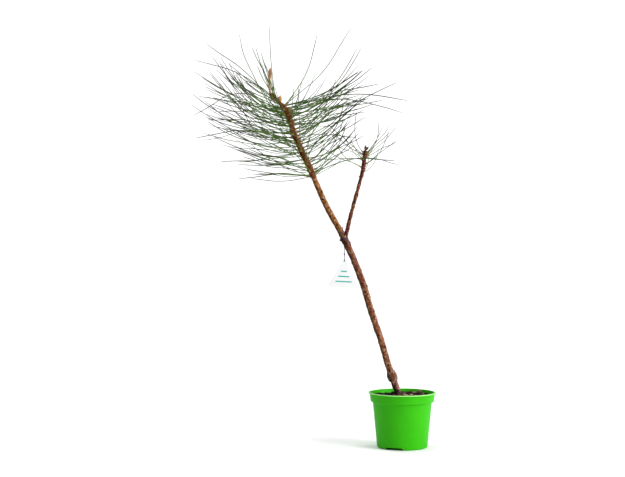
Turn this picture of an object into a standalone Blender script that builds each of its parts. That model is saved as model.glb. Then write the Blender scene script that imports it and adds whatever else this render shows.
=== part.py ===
# Potted black pine: a leaning young pine with one side branch, in a round nursery pot.
# Metres, +Z up, +X to the viewer's right, -Y towards the viewer.
# The origin is on the pot's axis, on the ground.

import math
import random

import bmesh
import bpy
import numpy as np
from mathutils import Matrix, Vector

MM = 0.001
GAP = 0.3 * MM  # between neighbouring pieces
SEED = 20

# Pot, in radii and heights
RIM_RADIUS = 60.0 * MM
RIM_TOP = 97.0 * MM
LIP_THICK = 2.6 * MM
BAND_TOP_RADIUS = 57.7 * MM
BAND_FOOT_RADIUS = 56.3 * MM
BAND_FOOT = 80.6 * MM
BODY_TOP_RADIUS = 52.4 * MM
BODY_FOOT_RADIUS = 44.6 * MM
FOOT_EDGE = 2.4 * MM  # rounding of the lower edge
WALL = 1.4 * MM
FOOT_RING_WIDTH = 5.2 * MM
FOOT_HEIGHT = 4.3 * MM
PAD_RADIUS = 26.0 * MM
POT_STEPS = 40
NOTCH_COUNT = 3
NOTCH_HEADING = -113.0  # degrees, the notch that faces the viewer's left
NOTCH_WIDTH = 30.0 * MM

# Soil
SOIL_TOP = 89.0 * MM
SOIL_ROOM = 0.5 * MM  # from the pot's wall, so that their facets stay apart
SOIL_FLOOR = FOOT_HEIGHT + WALL + GAP
SOIL_FLAT_RADIUS = 13.0 * MM  # level ground round the trunk's foot
SOIL_LUMP = 4.5 * MM
SOIL_RINGS = 6
SOIL_STEPS = 30

# Limbs: height, x and y of the centre line, in millimetres
TRUNK_PATH = (
    (84.0, -3.0, 0.0),
    (100.0, -8.9, 0.0),
    (125.0, -17.8, 0.0),
    (146.0, -25.2, 1.0),
    (188.0, -37.2, 3.0),
    (231.0, -51.8, 5.0),
    (295.0, -71.4, 6.0),
    (366.0, -101.5, 2.0),
    (425.0, -133.5, 0.0),
    (500.0, -166.7, 2.0),
    (553.0, -191.0, 3.5),
    (600.0, -209.6, 3.5),
    (612.0, -220.5, 2.5),
    (622.0, -231.0, 2.0),
    (642.0, -234.4, 2.0),
    (670.0, -232.0, 3.0),
)
BRANCH_PATH = (
    (360.0, -102.0, 1.5),
    (383.0, -97.0, 1.0),
    (425.0, -86.6, 3.0),
    (468.0, -74.6, 6.0),
    (489.0, -69.3, 7.0),
    (524.0, -64.6, 7.0),
)
# Radius of the wood against height, in millimetres
TRUNK_RADII = (
    (84, 4.9), (107, 5.7), (142, 5.5), (200, 5.3), (240, 5.7), (280, 5.7), (330, 5.5), (366, 5.6), (385, 5.0),
    (440, 4.9), (466, 4.6), (480, 3.0), (620, 2.1),
)
BRANCH_RADII = ((360, 3.7), (400, 3.0), (468, 2.8), (480, 2.1), (524, 1.9))
CANDLE_RADII = ((624, 2.2), (629, 2.0), (650, 2.3), (655, 3.1), (664, 3.4), (669, 2.2))
# Swellings of the trunk: height, how much it adds and how far it spreads, in millimetres
TRUNK_SWELLINGS = ((86.0, 3.2, 7.0), (125.0, 3.1, 7.0), (366.0, 1.0, 9.0), (620.0, 1.0, 5.0))
TRUNK_FOOT = SOIL_TOP + GAP
TRUNK_TIP = 624.0 * MM
CANDLE_TIP = 669.0 * MM
BRANCH_TIP = 524.0 * MM
RING_SPACING = 10.0 * MM
BEND_HEIGHT = 594.0 * MM  # above this the leader bends, and its rings stand closer
BEND_RING_SPACING = 4.0 * MM
STUB_HEIGHT = 368.0 * MM
STUB_LENGTH = 12.0 * MM
STUB_RADIUS = 1.7 * MM
BUD_FOOT = 609.0 * MM  # where the second bud stands on the leader
BUD_OFFSET = Vector((1.0, 0.0, 0.0)) * MM
BUD_LENGTH = 12.5 * MM
BUD_RADIUS = 3.0 * MM
BUD_LEAN = 6.0  # degrees
BUD_SHARES = (0.3, 0.6, 0.9)  # of its length, where balls keep the needles off it

# Needles: a pair in each bundle, bundles on a spiral up the shoot
GOLDEN_ANGLE = 137.508
NEEDLE_STEPS = 5
NEEDLE_RADIUS = 0.95 * MM
NEEDLE_SLIMNESS = 0.0062  # radius against length, for the longest
PAIR_SPACING = 1.9 * MM
PAIR_OPENING = 9.0  # degrees each way
NEEDLE_CLEARANCE = 0.7 * MM
REDRAWS = 40
POINT_SPACING = 2.0 * MM  # of the balls that stand for a needle where clearances are tested
ROOT_POINTS = 5  # of them, from the root, that may come close to their own mass and limb
SLEEVE_THICK = 1.9 * MM
ROOT_DEPTH = 1.2 * MM
SLEEVE_ARC_POINTS = 5
SECTOR_MARGIN = 5.0  # degrees kept free at each side of a sector
ROOT_MARGIN = 24.0  # degrees from a root to the edge of its sector

HEADINGS = {"left": 180.0, "right": 0.0, "front": -90.0, "back": 90.0}
# For each tier of the leader: its heights in millimetres, bundles on the spiral,
# then for each side the rise at the root and at the tip in degrees, and the length in millimetres
LEADER_TIERS = {
    "low": ((476, 518), 27, {
        "left": (2, 6, 138), "right": (18, 48, 112), "front": (2, 24, 105), "back": (4, 28, 110)}),
    "middle": ((519, 563), 36, {
        "left": (-3, 32, 178), "right": (12, 42, 140), "front": (4, 28, 125), "back": (6, 32, 130)}),
    "upper": ((564, 604), 42, {
        "left": (4, 37, 176), "right": (8, 25, 172), "front": (6, 40, 125), "back": (8, 44, 130)}),
}
CREST = ((606, 618), 7, (42, 36, 108))
CREST_TURN = 62.0  # degrees each side of the left that the crest's bundles fan out to
SIDE_SHOOT = ((478, 521), 8, {"left": (26, 36, 100), "right": (22, 50, 72)})
THIN_SIDES = ("front", "back")  # every second bundle is left out here
# How far a needle departs from its tier, as the spread of each angle in degrees
ROOT_SPREAD = 6.0
TIP_SPREAD = 16.0
BOW_SPREAD = 9.0
SAG_LIMIT = 8.0  # degrees, how far a bow may sag
SWERVE_SPREAD = 9.0
# Needles that set the reach: the mass, root height, heading, swerve, rise at root and tip, bow, length
REACH_NEEDLES = (
    ("crest", 614, 120, 50, 73, 90, 0, 135),
    ("crest", 615, 146, 30, 36, 20, 8, 174),
    ("crest", 611, 216, -24, 26, 42, 10, 162),
    ("leader_upper_right", 601, 15, -12, 52, 74, -6, 143),
    ("leader_upper_right", 601, -15, 12, 42, 53, -10, 184),
    ("leader_upper_right", 597, 8, -4, 8, 62, -4, 176),
    ("leader_upper_right", 594, -9, 2, 24, -10, 2, 216),
    ("leader_upper_right", 590, 10, 2, 26, -16, 4, 214),
    ("leader_upper_right", 586, -4, 4, 14, 18, -10, 198),
    ("leader_upper_left", 599, 170, 4, 22, -20, 18, 176),
    ("leader_upper_left", 592, 184, -6, -4, 66, 0, 160),
    ("leader_middle_left", 556, 184, -4, -4, 38, 0, 192),
    ("leader_middle_left", 549, 176, 4, -4, 32, -6, 195),
    ("leader_middle_left", 541, 186, 0, 10, -4, 12, 178),
    ("leader_low_right", 482, -14, 0, 26, -4, 4, 148),
    ("branch_left", 519, 172, 4, 48, 104, 0, 80),
    ("branch_left", 508, 200, 0, 4, -6, 0, 96),
    ("branch_right", 519, 8, 0, 34, 92, 0, 62),
    ("branch_right", 515, -8, 4, 34, 50, 0, 74),
    ("branch_right", 511, 4, 0, -2, -18, 0, 60),
)

# Tag and its thread
TAG_APEX = Vector((-101.9, -3.2, 334.0)) * MM
TAG_WIDTH = 60.0 * MM
TAG_HEIGHT = 53.5 * MM
TAG_THICK = 0.8 * MM
TAG_HOLE_DROP = 5.0 * MM
TAG_HOLE_RADIUS = 1.7 * MM
TAG_ROLL = -2.5  # degrees, in its own plane
TAG_TURN = -8.0  # degrees, its right corner towards the viewer
THREAD_RADIUS = 0.5 * MM
KNOT_RADIUS = 1.3 * MM


def clear_scene():
    for old in list(bpy.data.objects):
        bpy.data.objects.remove(old, do_unlink=True)


def new_collection(name):
    collection = bpy.data.collections.new(name)
    bpy.context.scene.collection.children.link(collection)
    return collection


def new_material(name, colour, roughness):
    material = bpy.data.materials.new(name)
    material.use_nodes = True
    shader = material.node_tree.nodes["Principled BSDF"]
    shader.inputs["Base Color"].default_value = (*colour, 1.0)
    shader.inputs["Roughness"].default_value = roughness
    shader.inputs["Metallic"].default_value = 0.0
    return material


def add_object(name, mesh, collection, material=None):
    made = bpy.data.objects.new(name, mesh)
    collection.objects.link(made)
    if material:
        mesh.materials.clear()
        mesh.materials.append(material)
    return made


def shade_round(mesh, sharp_angle=40.0):
    mesh.shade_smooth()
    mesh.set_sharp_from_angle(angle=math.radians(sharp_angle))


def evaluated_mesh(source):
    graph = bpy.context.evaluated_depsgraph_get()
    return bpy.data.meshes.new_from_object(source.evaluated_get(graph))


def mesh_from(builder):
    """Runs builder on an empty bmesh and returns the mesh that it made."""
    work = bmesh.new()
    builder(work)
    bmesh.ops.recalc_face_normals(work, faces=work.faces)
    mesh = bpy.data.meshes.new("shape")
    work.to_mesh(mesh)
    work.free()
    return mesh


def value_at(stations, height):
    """The values at a height, on a smooth curve through rows of height and values."""
    rows = np.array(stations, float)
    heights, values = rows[:, 0] * MM, rows[:, 1:] * MM
    slopes = np.gradient(values, heights, axis=0)
    i = int(np.clip(np.searchsorted(heights, height) - 1, 0, len(heights) - 2))
    span = heights[i + 1] - heights[i]
    t = np.clip((height - heights[i]) / span, 0.0, 1.0)
    a = values[i] * (1 + 2 * t) * (1 - t) ** 2 + slopes[i] * span * t * (1 - t) ** 2
    b = values[i + 1] * t * t * (3 - 2 * t) + slopes[i + 1] * span * t * t * (t - 1)
    return a + b


def centre_at(path, height):
    x, y = value_at(path, height)
    return Vector((x, y, height))


def tangent_at(path, height):
    return (centre_at(path, height + MM) - centre_at(path, height - MM)).normalized()


def straight_radius(radii, height):
    rows = np.array(radii, float) * MM
    return float(np.interp(height, rows[:, 0], rows[:, 1]))


def trunk_radius(height):
    radius = straight_radius(TRUNK_RADII, height)
    for middle, extra, spread in TRUNK_SWELLINGS:
        radius += extra * MM * math.exp(-(((height / MM - middle) / spread) ** 2))
    return radius


def branch_radius(height):
    return straight_radius(BRANCH_RADII, height)


def candle_radius(height):
    return straight_radius(CANDLE_RADII, height)


LIMBS = {"leader": (TRUNK_PATH, trunk_radius), "branch": (BRANCH_PATH, branch_radius)}


def tube_curve(name, points, radii, collection, resolution=3):
    """A tube with filled caps on a poly spline, its radius given at each point."""
    curve = bpy.data.curves.new(name, "CURVE")
    curve.dimensions = "3D"
    curve.bevel_depth = 1.0
    curve.bevel_resolution = resolution
    curve.use_fill_caps = True
    spline = curve.splines.new("POLY")
    spline.points.add(len(points) - 1)
    for at, point, radius in zip(spline.points, points, radii):
        at.co = (*point, 1.0)
        at.radius = radius
    return add_object(name, curve, collection)


def welded_tube(name, points, radii, collection, resolution=3):
    """The same tube as one closed mesh."""
    curve = tube_curve(name + "_curve", points, radii, collection, resolution)
    mesh = evaluated_mesh(curve)
    data = curve.data
    bpy.data.objects.remove(curve)
    bpy.data.curves.remove(data)
    work = bmesh.new()
    work.from_mesh(mesh)
    bmesh.ops.remove_doubles(work, verts=work.verts, dist=1e-6)
    bmesh.ops.recalc_face_normals(work, faces=work.faces)
    work.to_mesh(mesh)
    work.free()
    return add_object(name, mesh, collection)


def cut_level(mesh, height, keep_above):
    """Cuts the mesh flat at a height and closes it."""
    work = bmesh.new()
    work.from_mesh(mesh)
    cut = bmesh.ops.bisect_plane(
        work,
        geom=work.verts[:] + work.edges[:] + work.faces[:],
        plane_co=(0, 0, height),
        plane_no=(0, 0, 1),
        clear_inner=keep_above,
        clear_outer=not keep_above,
    )
    edges = [item for item in cut["geom_cut"] if isinstance(item, bmesh.types.BMEdge)]
    bmesh.ops.edgenet_fill(work, edges=edges)
    bmesh.ops.recalc_face_normals(work, faces=work.faces)
    work.to_mesh(mesh)
    work.free()


def ring_heights(low, high):
    """Even steps from low to high, closer together where the leader bends."""
    heights = [low]
    while heights[-1] < high - 0.1 * MM:
        spacing = BEND_RING_SPACING if heights[-1] >= BEND_HEIGHT else RING_SPACING
        heights.append(min(high, heights[-1] + spacing))
    if heights[-1] - heights[-2] < 0.4 * BEND_RING_SPACING:
        heights.pop(-2)
    return heights


def limb_tube(name, path, radius_at, low, high, collection, extra=0.0):
    heights = ring_heights(low, high)
    points = [centre_at(path, h) for h in heights]
    return welded_tube(name, points, [radius_at(h) + extra for h in heights], collection)


def add_boolean(target, operation, other):
    modifier = target.modifiers.new(operation.lower(), "BOOLEAN")
    modifier.operation = operation
    modifier.object = other
    return modifier


def hide_cutter(cutter):
    cutter.hide_render = True
    cutter.display_type = "WIRE"


def turned(name, profile, collection, steps, material):
    """A solid of revolution from a profile of radius and height that runs down its outer side."""
    mesh = bpy.data.meshes.new(name)
    points = [(radius, 0.0, height) for radius, height in profile]
    mesh.from_pydata(points, [(i, i + 1) for i in range(len(points) - 1)], [])
    made = add_object(name, mesh, collection, material)
    screw = made.modifiers.new("turn", "SCREW")
    screw.axis = "Z"
    screw.steps = screw.render_steps = steps
    screw.use_merge_vertices = True
    screw.merge_threshold = 0.00002
    screw.use_smooth_shade = True
    return made


def pot_profile():
    ring_inner = BODY_FOOT_RADIUS - FOOT_RING_WIDTH
    floor = FOOT_HEIGHT + WALL
    edge = FOOT_EDGE
    outer = [
        (RIM_RADIUS - 1.4 * MM, RIM_TOP),
        (RIM_RADIUS, RIM_TOP - 0.9 * MM),
        (RIM_RADIUS, RIM_TOP - LIP_THICK),
        (BAND_TOP_RADIUS, RIM_TOP - LIP_THICK - 0.6 * MM),
        (BAND_FOOT_RADIUS, BAND_FOOT + 0.5 * MM),
        (BAND_FOOT_RADIUS - 0.8 * MM, BAND_FOOT),
        (BODY_TOP_RADIUS, BAND_FOOT - 0.8 * MM),
        (BODY_FOOT_RADIUS, edge),
        (BODY_FOOT_RADIUS - 0.35 * edge, 0.3 * edge),
        (BODY_FOOT_RADIUS - edge, 0.0),
    ]
    under = [
        (ring_inner, 0.0),
        (ring_inner - 0.6 * MM, FOOT_HEIGHT),
        (PAD_RADIUS + 0.8 * MM, FOOT_HEIGHT),
        (PAD_RADIUS, 0.0),
        (0.0, 0.0),
    ]
    inside = [
        (0.0, WALL),
        (PAD_RADIUS - WALL, WALL),
        (PAD_RADIUS - 0.6 * MM, floor),
        (BODY_FOOT_RADIUS - WALL, floor),
        (BODY_TOP_RADIUS - WALL, BAND_FOOT),
        (BAND_FOOT_RADIUS - WALL, BAND_FOOT + WALL),
        (BAND_TOP_RADIUS - WALL, RIM_TOP - 0.7 * MM),
        (RIM_RADIUS - 3.0 * MM, RIM_TOP),
    ]
    profile = outer + under + inside
    return profile + profile[:1]


def build_pot(parts, cutters, material):
    pot = turned("pot", pot_profile(), parts, POT_STEPS, material)
    for number in range(NOTCH_COUNT):
        heading = math.radians(NOTCH_HEADING + 360.0 * number / NOTCH_COUNT)
        middle = BODY_FOOT_RADIUS - 0.3 * FOOT_RING_WIDTH
        size = Vector((3.5 * FOOT_RING_WIDTH, NOTCH_WIDTH, FOOT_HEIGHT + 2 * MM))

        def wedge(work):
            bmesh.ops.create_cube(work, size=1.0, matrix=Matrix.Diagonal((*size, 1.0)))
            for vert in work.verts:
                if vert.co.z < 0:
                    vert.co.y *= 1.12  # the notch opens downwards

        cutter = add_object(f"notch_{number + 1}", mesh_from(wedge), cutters)
        cutter.location = (
            middle * math.cos(heading),
            middle * math.sin(heading),
            FOOT_HEIGHT - size.z / 2,
        )
        cutter.rotation_euler.z = heading
        hide_cutter(cutter)
        add_boolean(pot, "DIFFERENCE", cutter)
    return pot


def soil_height(radius, angle, rng_phases):
    """Level round the trunk, lumpy further out, a little lower at the wall."""
    away = min(1.0, max(0.0, (radius - SOIL_FLAT_RADIUS) / (10 * MM)))
    lump = 0.0
    for waves, phase, ripple in rng_phases:
        lump += math.sin(waves * angle + phase) * math.cos(radius / MM * ripple + 2 * phase)
    lump = SOIL_LUMP * (0.35 + 0.3 * lump)
    return SOIL_TOP + away * max(-1.5 * MM, lump)


def build_soil(parts, material):
    rng = random.Random(SEED)
    phases = [(w, rng.uniform(0, 6.28), rng.uniform(0.11, 0.2)) for w in (2, 3, 5)]
    body_radius = BODY_TOP_RADIUS - WALL - SOIL_ROOM
    wide_radius = BAND_FOOT_RADIUS - WALL - SOIL_ROOM
    profile = [(wide_radius * i / SOIL_RINGS, SOIL_TOP) for i in range(SOIL_RINGS + 1)]
    profile += [
        (wide_radius, BAND_FOOT + WALL + SOIL_ROOM),
        (body_radius, BAND_FOOT + SOIL_ROOM),
        (BODY_FOOT_RADIUS - WALL - SOIL_ROOM, SOIL_FLOOR),
        (0.0, SOIL_FLOOR),
    ]
    turned_soil = turned("soil_turned", profile, parts, SOIL_STEPS, None)
    mesh = evaluated_mesh(turned_soil)
    bpy.data.objects.remove(turned_soil)
    for vert in mesh.vertices:
        if vert.co.z > SOIL_TOP - 0.1 * MM:
            radius = math.hypot(vert.co.x, vert.co.y)
            vert.co.z = soil_height(radius, math.atan2(vert.co.y, vert.co.x), phases)
    shade_round(mesh)
    return add_object("soil", mesh, parts, material)


def build_trunk(parts, cutters, material):
    made = limb_tube("trunk", TRUNK_PATH, trunk_radius, 84 * MM, TRUNK_TIP + 4 * MM, parts)
    cut_level(made.data, TRUNK_FOOT, keep_above=True)
    cut_level(made.data, TRUNK_TIP, keep_above=False)
    made.data.materials.append(material)
    root = centre_at(TRUNK_PATH, STUB_HEIGHT)
    out = Vector((-0.9, -0.25, 0.35)).normalized()
    stub = welded_tube(
        "broken_stub",
        [root + out * STUB_LENGTH * t for t in (0.2, 0.8, 1.0)],
        [STUB_RADIUS * 1.3, STUB_RADIUS, STUB_RADIUS * 0.8],
        cutters,
        resolution=1,
    )
    hide_cutter(stub)
    add_boolean(made, "UNION", stub)
    shade_round(made.data)
    cutter = limb_tube("trunk_room", TRUNK_PATH, trunk_radius, 84 * MM, TRUNK_TIP, cutters, GAP + 0.1 * MM)
    hide_cutter(cutter)
    return cutter


def build_branch(parts, trunk_room, material):
    low = BRANCH_PATH[0][0] * MM
    made = limb_tube("side_branch", BRANCH_PATH, branch_radius, low, BRANCH_TIP + 3 * MM, parts)
    cut_level(made.data, BRANCH_TIP, keep_above=False)
    made.data.materials.append(material)
    add_boolean(made, "DIFFERENCE", trunk_room)
    shade_round(made.data)


def egg(length, radius):
    """A pointed bud with its foot at the origin."""

    def build(work):
        bmesh.ops.create_uvsphere(work, u_segments=8, v_segments=6, radius=1.0)
        for vert in work.verts:
            up = (vert.co.z + 1) / 2
            slim = 1.0 - 0.35 * up
            vert.co = (vert.co.x * radius * slim, vert.co.y * radius * slim, length * up)

    return mesh_from(build)


def build_buds(parts, cutters, trunk_room, dry, brown, dark):
    heights = [h * MM for h in (621, 628, 636, 644, 650, 655, 660, 664)] + [CANDLE_TIP]
    candle = welded_tube(
        "terminal_bud",
        [centre_at(TRUNK_PATH, h) for h in heights],
        [candle_radius(h) for h in heights],
        parts,
        resolution=2,
    )
    cut_level(candle.data, TRUNK_TIP + GAP, keep_above=True)
    candle.data.materials.append(dry)
    shade_round(candle.data)

    second = add_object("second_bud", egg(BUD_LENGTH, BUD_RADIUS), parts, brown)
    second.location = centre_at(TRUNK_PATH, BUD_FOOT) + BUD_OFFSET
    second.rotation_euler = (0.0, math.radians(BUD_LEAN), 0.0)
    add_boolean(second, "DIFFERENCE", trunk_room)
    shade_round(second.data)

    tip = centre_at(BRANCH_PATH, BRANCH_TIP)
    cluster = add_object("branch_bud", egg(9 * MM, 2.2 * MM), parts, dark)
    cluster.location = tip + Vector((0, 0, GAP))
    beside = add_object("branch_bud_beside", egg(7 * MM, 1.8 * MM), cutters)
    beside.location = tip + Vector((1.3, -0.3, 1.2)) * MM
    beside.rotation_euler = (0.0, math.radians(38), 0.0)
    hide_cutter(beside)
    add_boolean(cluster, "UNION", beside)
    shade_round(cluster.data)


def level_direction(heading):
    return Vector((math.cos(math.radians(heading)), math.sin(math.radians(heading)), 0.0))


def outward(path, height, heading):
    """The direction square to the limb that points to this heading."""
    along = tangent_at(path, height)
    level = level_direction(heading)
    return (level - along * level.dot(along)).normalized()


def add_loft(work, rings, pointed=False):
    """Skins rings of equal size and closes both ends, the far one to a point where pointed."""
    rows = [[work.verts.new(point) for point in ring] for ring in rings]
    for near, far in zip(rows, rows[1:]):
        for i in range(len(near)):
            j = (i + 1) % len(near)
            if len(far) == 1:
                work.faces.new((near[i], near[j], far[0]))
            else:
                work.faces.new((near[i], near[j], far[j], far[i]))
    work.faces.new(rows[0])
    if not pointed:
        work.faces.new(rows[-1])


def sleeve_mesh(path, radius_at, low, high, heading, spread):
    """The woody layer that carries a mass: part of a sleeve round the limb, clear of it."""
    heights = ring_heights(low, high)
    turns = np.linspace(-spread, spread, SLEEVE_ARC_POINTS + round(spread / 45))
    rings = []
    for height in heights:
        centre = centre_at(path, height)
        inner = radius_at(height) + GAP + 0.1 * MM
        ends = height in (heights[0], heights[-1])
        outer = inner + SLEEVE_THICK * (0.75 if ends else 1.0)
        ring = [centre + outward(path, height, heading + t) * outer for t in turns]
        ring += [centre + outward(path, height, heading + t) * inner for t in reversed(turns)]
        rings.append(ring)
    return mesh_from(lambda work: add_loft(work, rings))


def needle_points(root, heading, rise_root, rise_tip, bow, length, swerve):
    """A needle's centre line: its rise goes from one angle to the other, with a bow like an S."""
    points = [root]
    fine = 8 * NEEDLE_STEPS
    at = root.copy()
    for i in range(fine):
        t = (i + 0.5) / fine
        rise = rise_root + (rise_tip - rise_root) * t * (1.6 - 0.6 * t) + bow * math.sin(2 * math.pi * t)
        rise = math.radians(rise)
        level = level_direction(heading + swerve * t)
        at = at + (level * math.cos(rise) + Vector((0, 0, math.sin(rise)))) * (length / fine)
        if (i + 1) % 8 == 0:
            points.append(at.copy())
    return points


def needle_radius(length):
    return max(NEEDLE_RADIUS, NEEDLE_SLIMNESS * length)


def needle_mesh(points, radius):
    """A three-sided needle that narrows to a point."""
    swell = [1.0, 1.0, 1.0, 0.92, 0.78]
    rings = []
    for i, point in enumerate(points[:-1]):
        along = (points[i + 1] - points[max(i - 1, 0)]).normalized()
        side = along.cross(Vector((0, 0, 1)))
        if side.length < 0.1:
            side = along.cross(Vector((0, 1, 0)))
        side.normalize()
        up = side.cross(along)
        turns = [math.radians(90 + 120 * k) for k in range(3)]
        rings.append([point + (side * math.cos(a) + up * math.sin(a)) * radius * swell[i] for a in turns])
    rings.append([points[-1]])
    return mesh_from(lambda work: add_loft(work, rings, pointed=True))


def dense(points):
    """Points close together along a polyline."""
    rows = []
    for a, b in zip(points, points[1:]):
        count = max(1, math.ceil((b - a).length / POINT_SPACING))
        rows += [tuple(a.lerp(b, i / count)) for i in range(count)]
    rows.append(tuple(points[-1]))
    return np.array(rows)


class Room:
    """What is already placed, as balls along each piece, so that a new needle can stay clear."""

    def __init__(self):
        self.centres = []
        self.radii = []
        self.owners = []

    def add(self, points, radius, owner):
        self.centres.append(points)
        self.radii.append(np.full(len(points), radius))
        self.owners += [owner] * len(points)

    def is_clear(self, points, radius, owner):
        """Is the polyline clear of everything, apart from its root among its own mass and limb?"""
        apart = np.linalg.norm(points[:, None] - np.concatenate(self.centres)[None], axis=2)
        touches = apart < np.concatenate(self.radii) + radius + NEEDLE_CLEARANCE
        at_home = np.array([known in (owner, "limb") for known in self.owners])
        touches[:ROOT_POINTS] &= ~at_home
        return not touches.any()


def limb_room():
    room = Room()
    for path, radius_at, low, high in (
        (TRUNK_PATH, trunk_radius, 84, 620),
        (TRUNK_PATH, candle_radius, 624, 669),
        (BRANCH_PATH, branch_radius, 372, 530),
    ):
        leafy = 474 * MM
        for height in np.arange(low, high, 2.0) * MM:
            extra = GAP + SLEEVE_THICK if leafy < height < 620 * MM else 0.0
            room.add(np.array([centre_at(path, height)]), radius_at(height) + extra, "limb")
    bud = centre_at(TRUNK_PATH, BUD_FOOT) + BUD_OFFSET
    for share in BUD_SHARES:
        room.add(np.array([bud + Vector((0, 0, BUD_LENGTH * share))]), BUD_RADIUS, "bud")
    return room


class Mass:
    """A bundle of needles on its own sleeve, kept to one sector round its limb."""

    def __init__(self, name, limb, low, high, heading, spread):
        self.name = name
        self.path, self.radius_at = LIMBS[limb]
        self.low, self.high = low * MM, high * MM
        self.heading, self.spread = heading, spread
        self.needles = []

    def holds(self, turn):
        off = (turn - self.heading + 180) % 360 - 180
        return self.name == "crest" or abs(off) < self.spread

    def root(self, height, heading, aside):
        """A place inside the sleeve, well away from its edges."""
        height = min(max(height, self.low + 2.5 * MM), self.high - 2.5 * MM)
        heading = inside_sector(heading, self, ROOT_MARGIN)
        reach = self.radius_at(height) + GAP + SLEEVE_THICK - ROOT_DEPTH
        out = outward(self.path, height, heading)
        beside = tangent_at(self.path, height).cross(out)
        return centre_at(self.path, height) + out * reach + beside * aside

    def place(self, room, root, heading, rise_root, rise_tip, bow, length, swerve):
        points = needle_points(root, heading, rise_root, rise_tip, bow, length, swerve)
        centre = centre_at(self.path, root.z)
        off = points[-1] - centre
        turn = math.degrees(math.atan2(off.y, off.x))
        if not self.holds(turn):
            return False
        radius = needle_radius(length)
        line = dense(points)
        if not room.is_clear(line, radius, self.name):
            return False
        room.add(line, radius, self.name)
        self.needles.append((points, radius))
        return True


def grow_bundle(mass, room, rng, height, turn, rise_root, rise_tip, length):
    """A pair of needles from one root, each drawn again until it is clear of the rest."""
    for side in (-1, 1):
        for _ in range(REDRAWS):
            heading = turn + side * PAIR_OPENING * rng.uniform(0.4, 1.3)
            root = mass.root(height, turn, side * PAIR_SPACING / 2)
            own_length = length * MM * rng.uniform(0.8, 1.06)
            start = rise_root + rng.gauss(0, ROOT_SPREAD)
            finish = rise_tip + rng.gauss(0, TIP_SPREAD)
            bow = max(-SAG_LIMIT, rng.gauss(0, BOW_SPREAD))
            swerve = rng.gauss(0, SWERVE_SPREAD)
            if mass.place(room, root, heading, start, finish, bow, own_length, swerve):
                break


def leader_masses():
    masses = {}
    for tier, ((low, high), _, sides) in LEADER_TIERS.items():
        for side in sides:
            name = f"leader_{tier}_{side}"
            masses[name] = Mass(name, "leader", low, high, HEADINGS[side], 45 - SECTOR_MARGIN)
    (low, high), _, _ = CREST
    masses["crest"] = Mass("crest", "leader", low, high, 180.0, 138.0)
    (low, high), _, sides = SIDE_SHOOT
    for side in sides:
        name = f"branch_{side}"
        masses[name] = Mass(name, "branch", low, high, HEADINGS[side], 90 - SECTOR_MARGIN)
    return masses


def nearest_side(turn, sides):
    return min(sides, key=lambda side: abs((turn - HEADINGS[side] + 180) % 360 - 180))


def inside_sector(turn, mass, margin=4.0):
    """The heading, moved into the mass's sector where it falls beside it."""
    off = (turn - mass.heading + 180) % 360 - 180
    limit = mass.spread - margin
    return mass.heading + max(-limit, min(limit, off))


def grow_all(masses):
    rng = random.Random(SEED)
    room = limb_room()
    for name, height, heading, swerve, rise_root, rise_tip, bow, length in REACH_NEEDLES:
        mass = masses[name]
        root = mass.root(height * MM, heading, 0.0)
        if not mass.place(room, root, heading, rise_root, rise_tip, bow, length * MM, swerve):
            print("no room for a reach needle of", name, height)
    turn = 0.0
    for tier, ((low, high), count, sides) in LEADER_TIERS.items():
        for i in range(count):
            turn += GOLDEN_ANGLE
            side = nearest_side(turn, sides)
            if side in THIN_SIDES and i % 2:
                continue
            mass = masses[f"leader_{tier}_{side}"]
            height = (low + (high - low) * (i + 0.5) / count) * MM
            grow_bundle(mass, room, rng, height, inside_sector(turn, mass), *sides[side])
    (low, high), count, shape = CREST
    for i in range(count):
        turn += GOLDEN_ANGLE
        height = (low + (high - low) * (i + 0.5) / count) * MM
        heading = 180.0 + CREST_TURN * math.sin(math.radians(turn))
        grow_bundle(masses["crest"], room, rng, height, heading, *shape)
    (low, high), count, sides = SIDE_SHOOT
    for i in range(count):
        turn += GOLDEN_ANGLE
        side = nearest_side(turn, sides)
        mass = masses[f"branch_{side}"]
        height = low + (high - low) * ((i + 0.5) / count) ** 0.6
        grow_bundle(mass, room, rng, height * MM, inside_sector(turn, mass, 20), *sides[side])


def build_mass(mass, parts, material):
    """Joins the needles to their sleeve in one union."""
    shape = sleeve_mesh(mass.path, mass.radius_at, mass.low, mass.high, mass.heading, mass.spread - 2)
    core = add_object(mass.name + "_core", shape, parts)
    bundle = new_collection(mass.name + "_needles")
    for number, (points, radius) in enumerate(mass.needles):
        add_object(f"{mass.name}_{number}", needle_mesh(points, radius), bundle)
    union = core.modifiers.new("union", "BOOLEAN")
    union.operation = "UNION"
    union.operand_type = "COLLECTION"
    union.collection = bundle
    union.solver = "MANIFOLD"
    joined = evaluated_mesh(core)
    for used in [core, *bundle.objects]:
        bpy.data.objects.remove(used)
    bpy.data.collections.remove(bundle)
    joined.name = mass.name
    shade_round(joined)
    add_object(mass.name, joined, parts, material)


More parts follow.
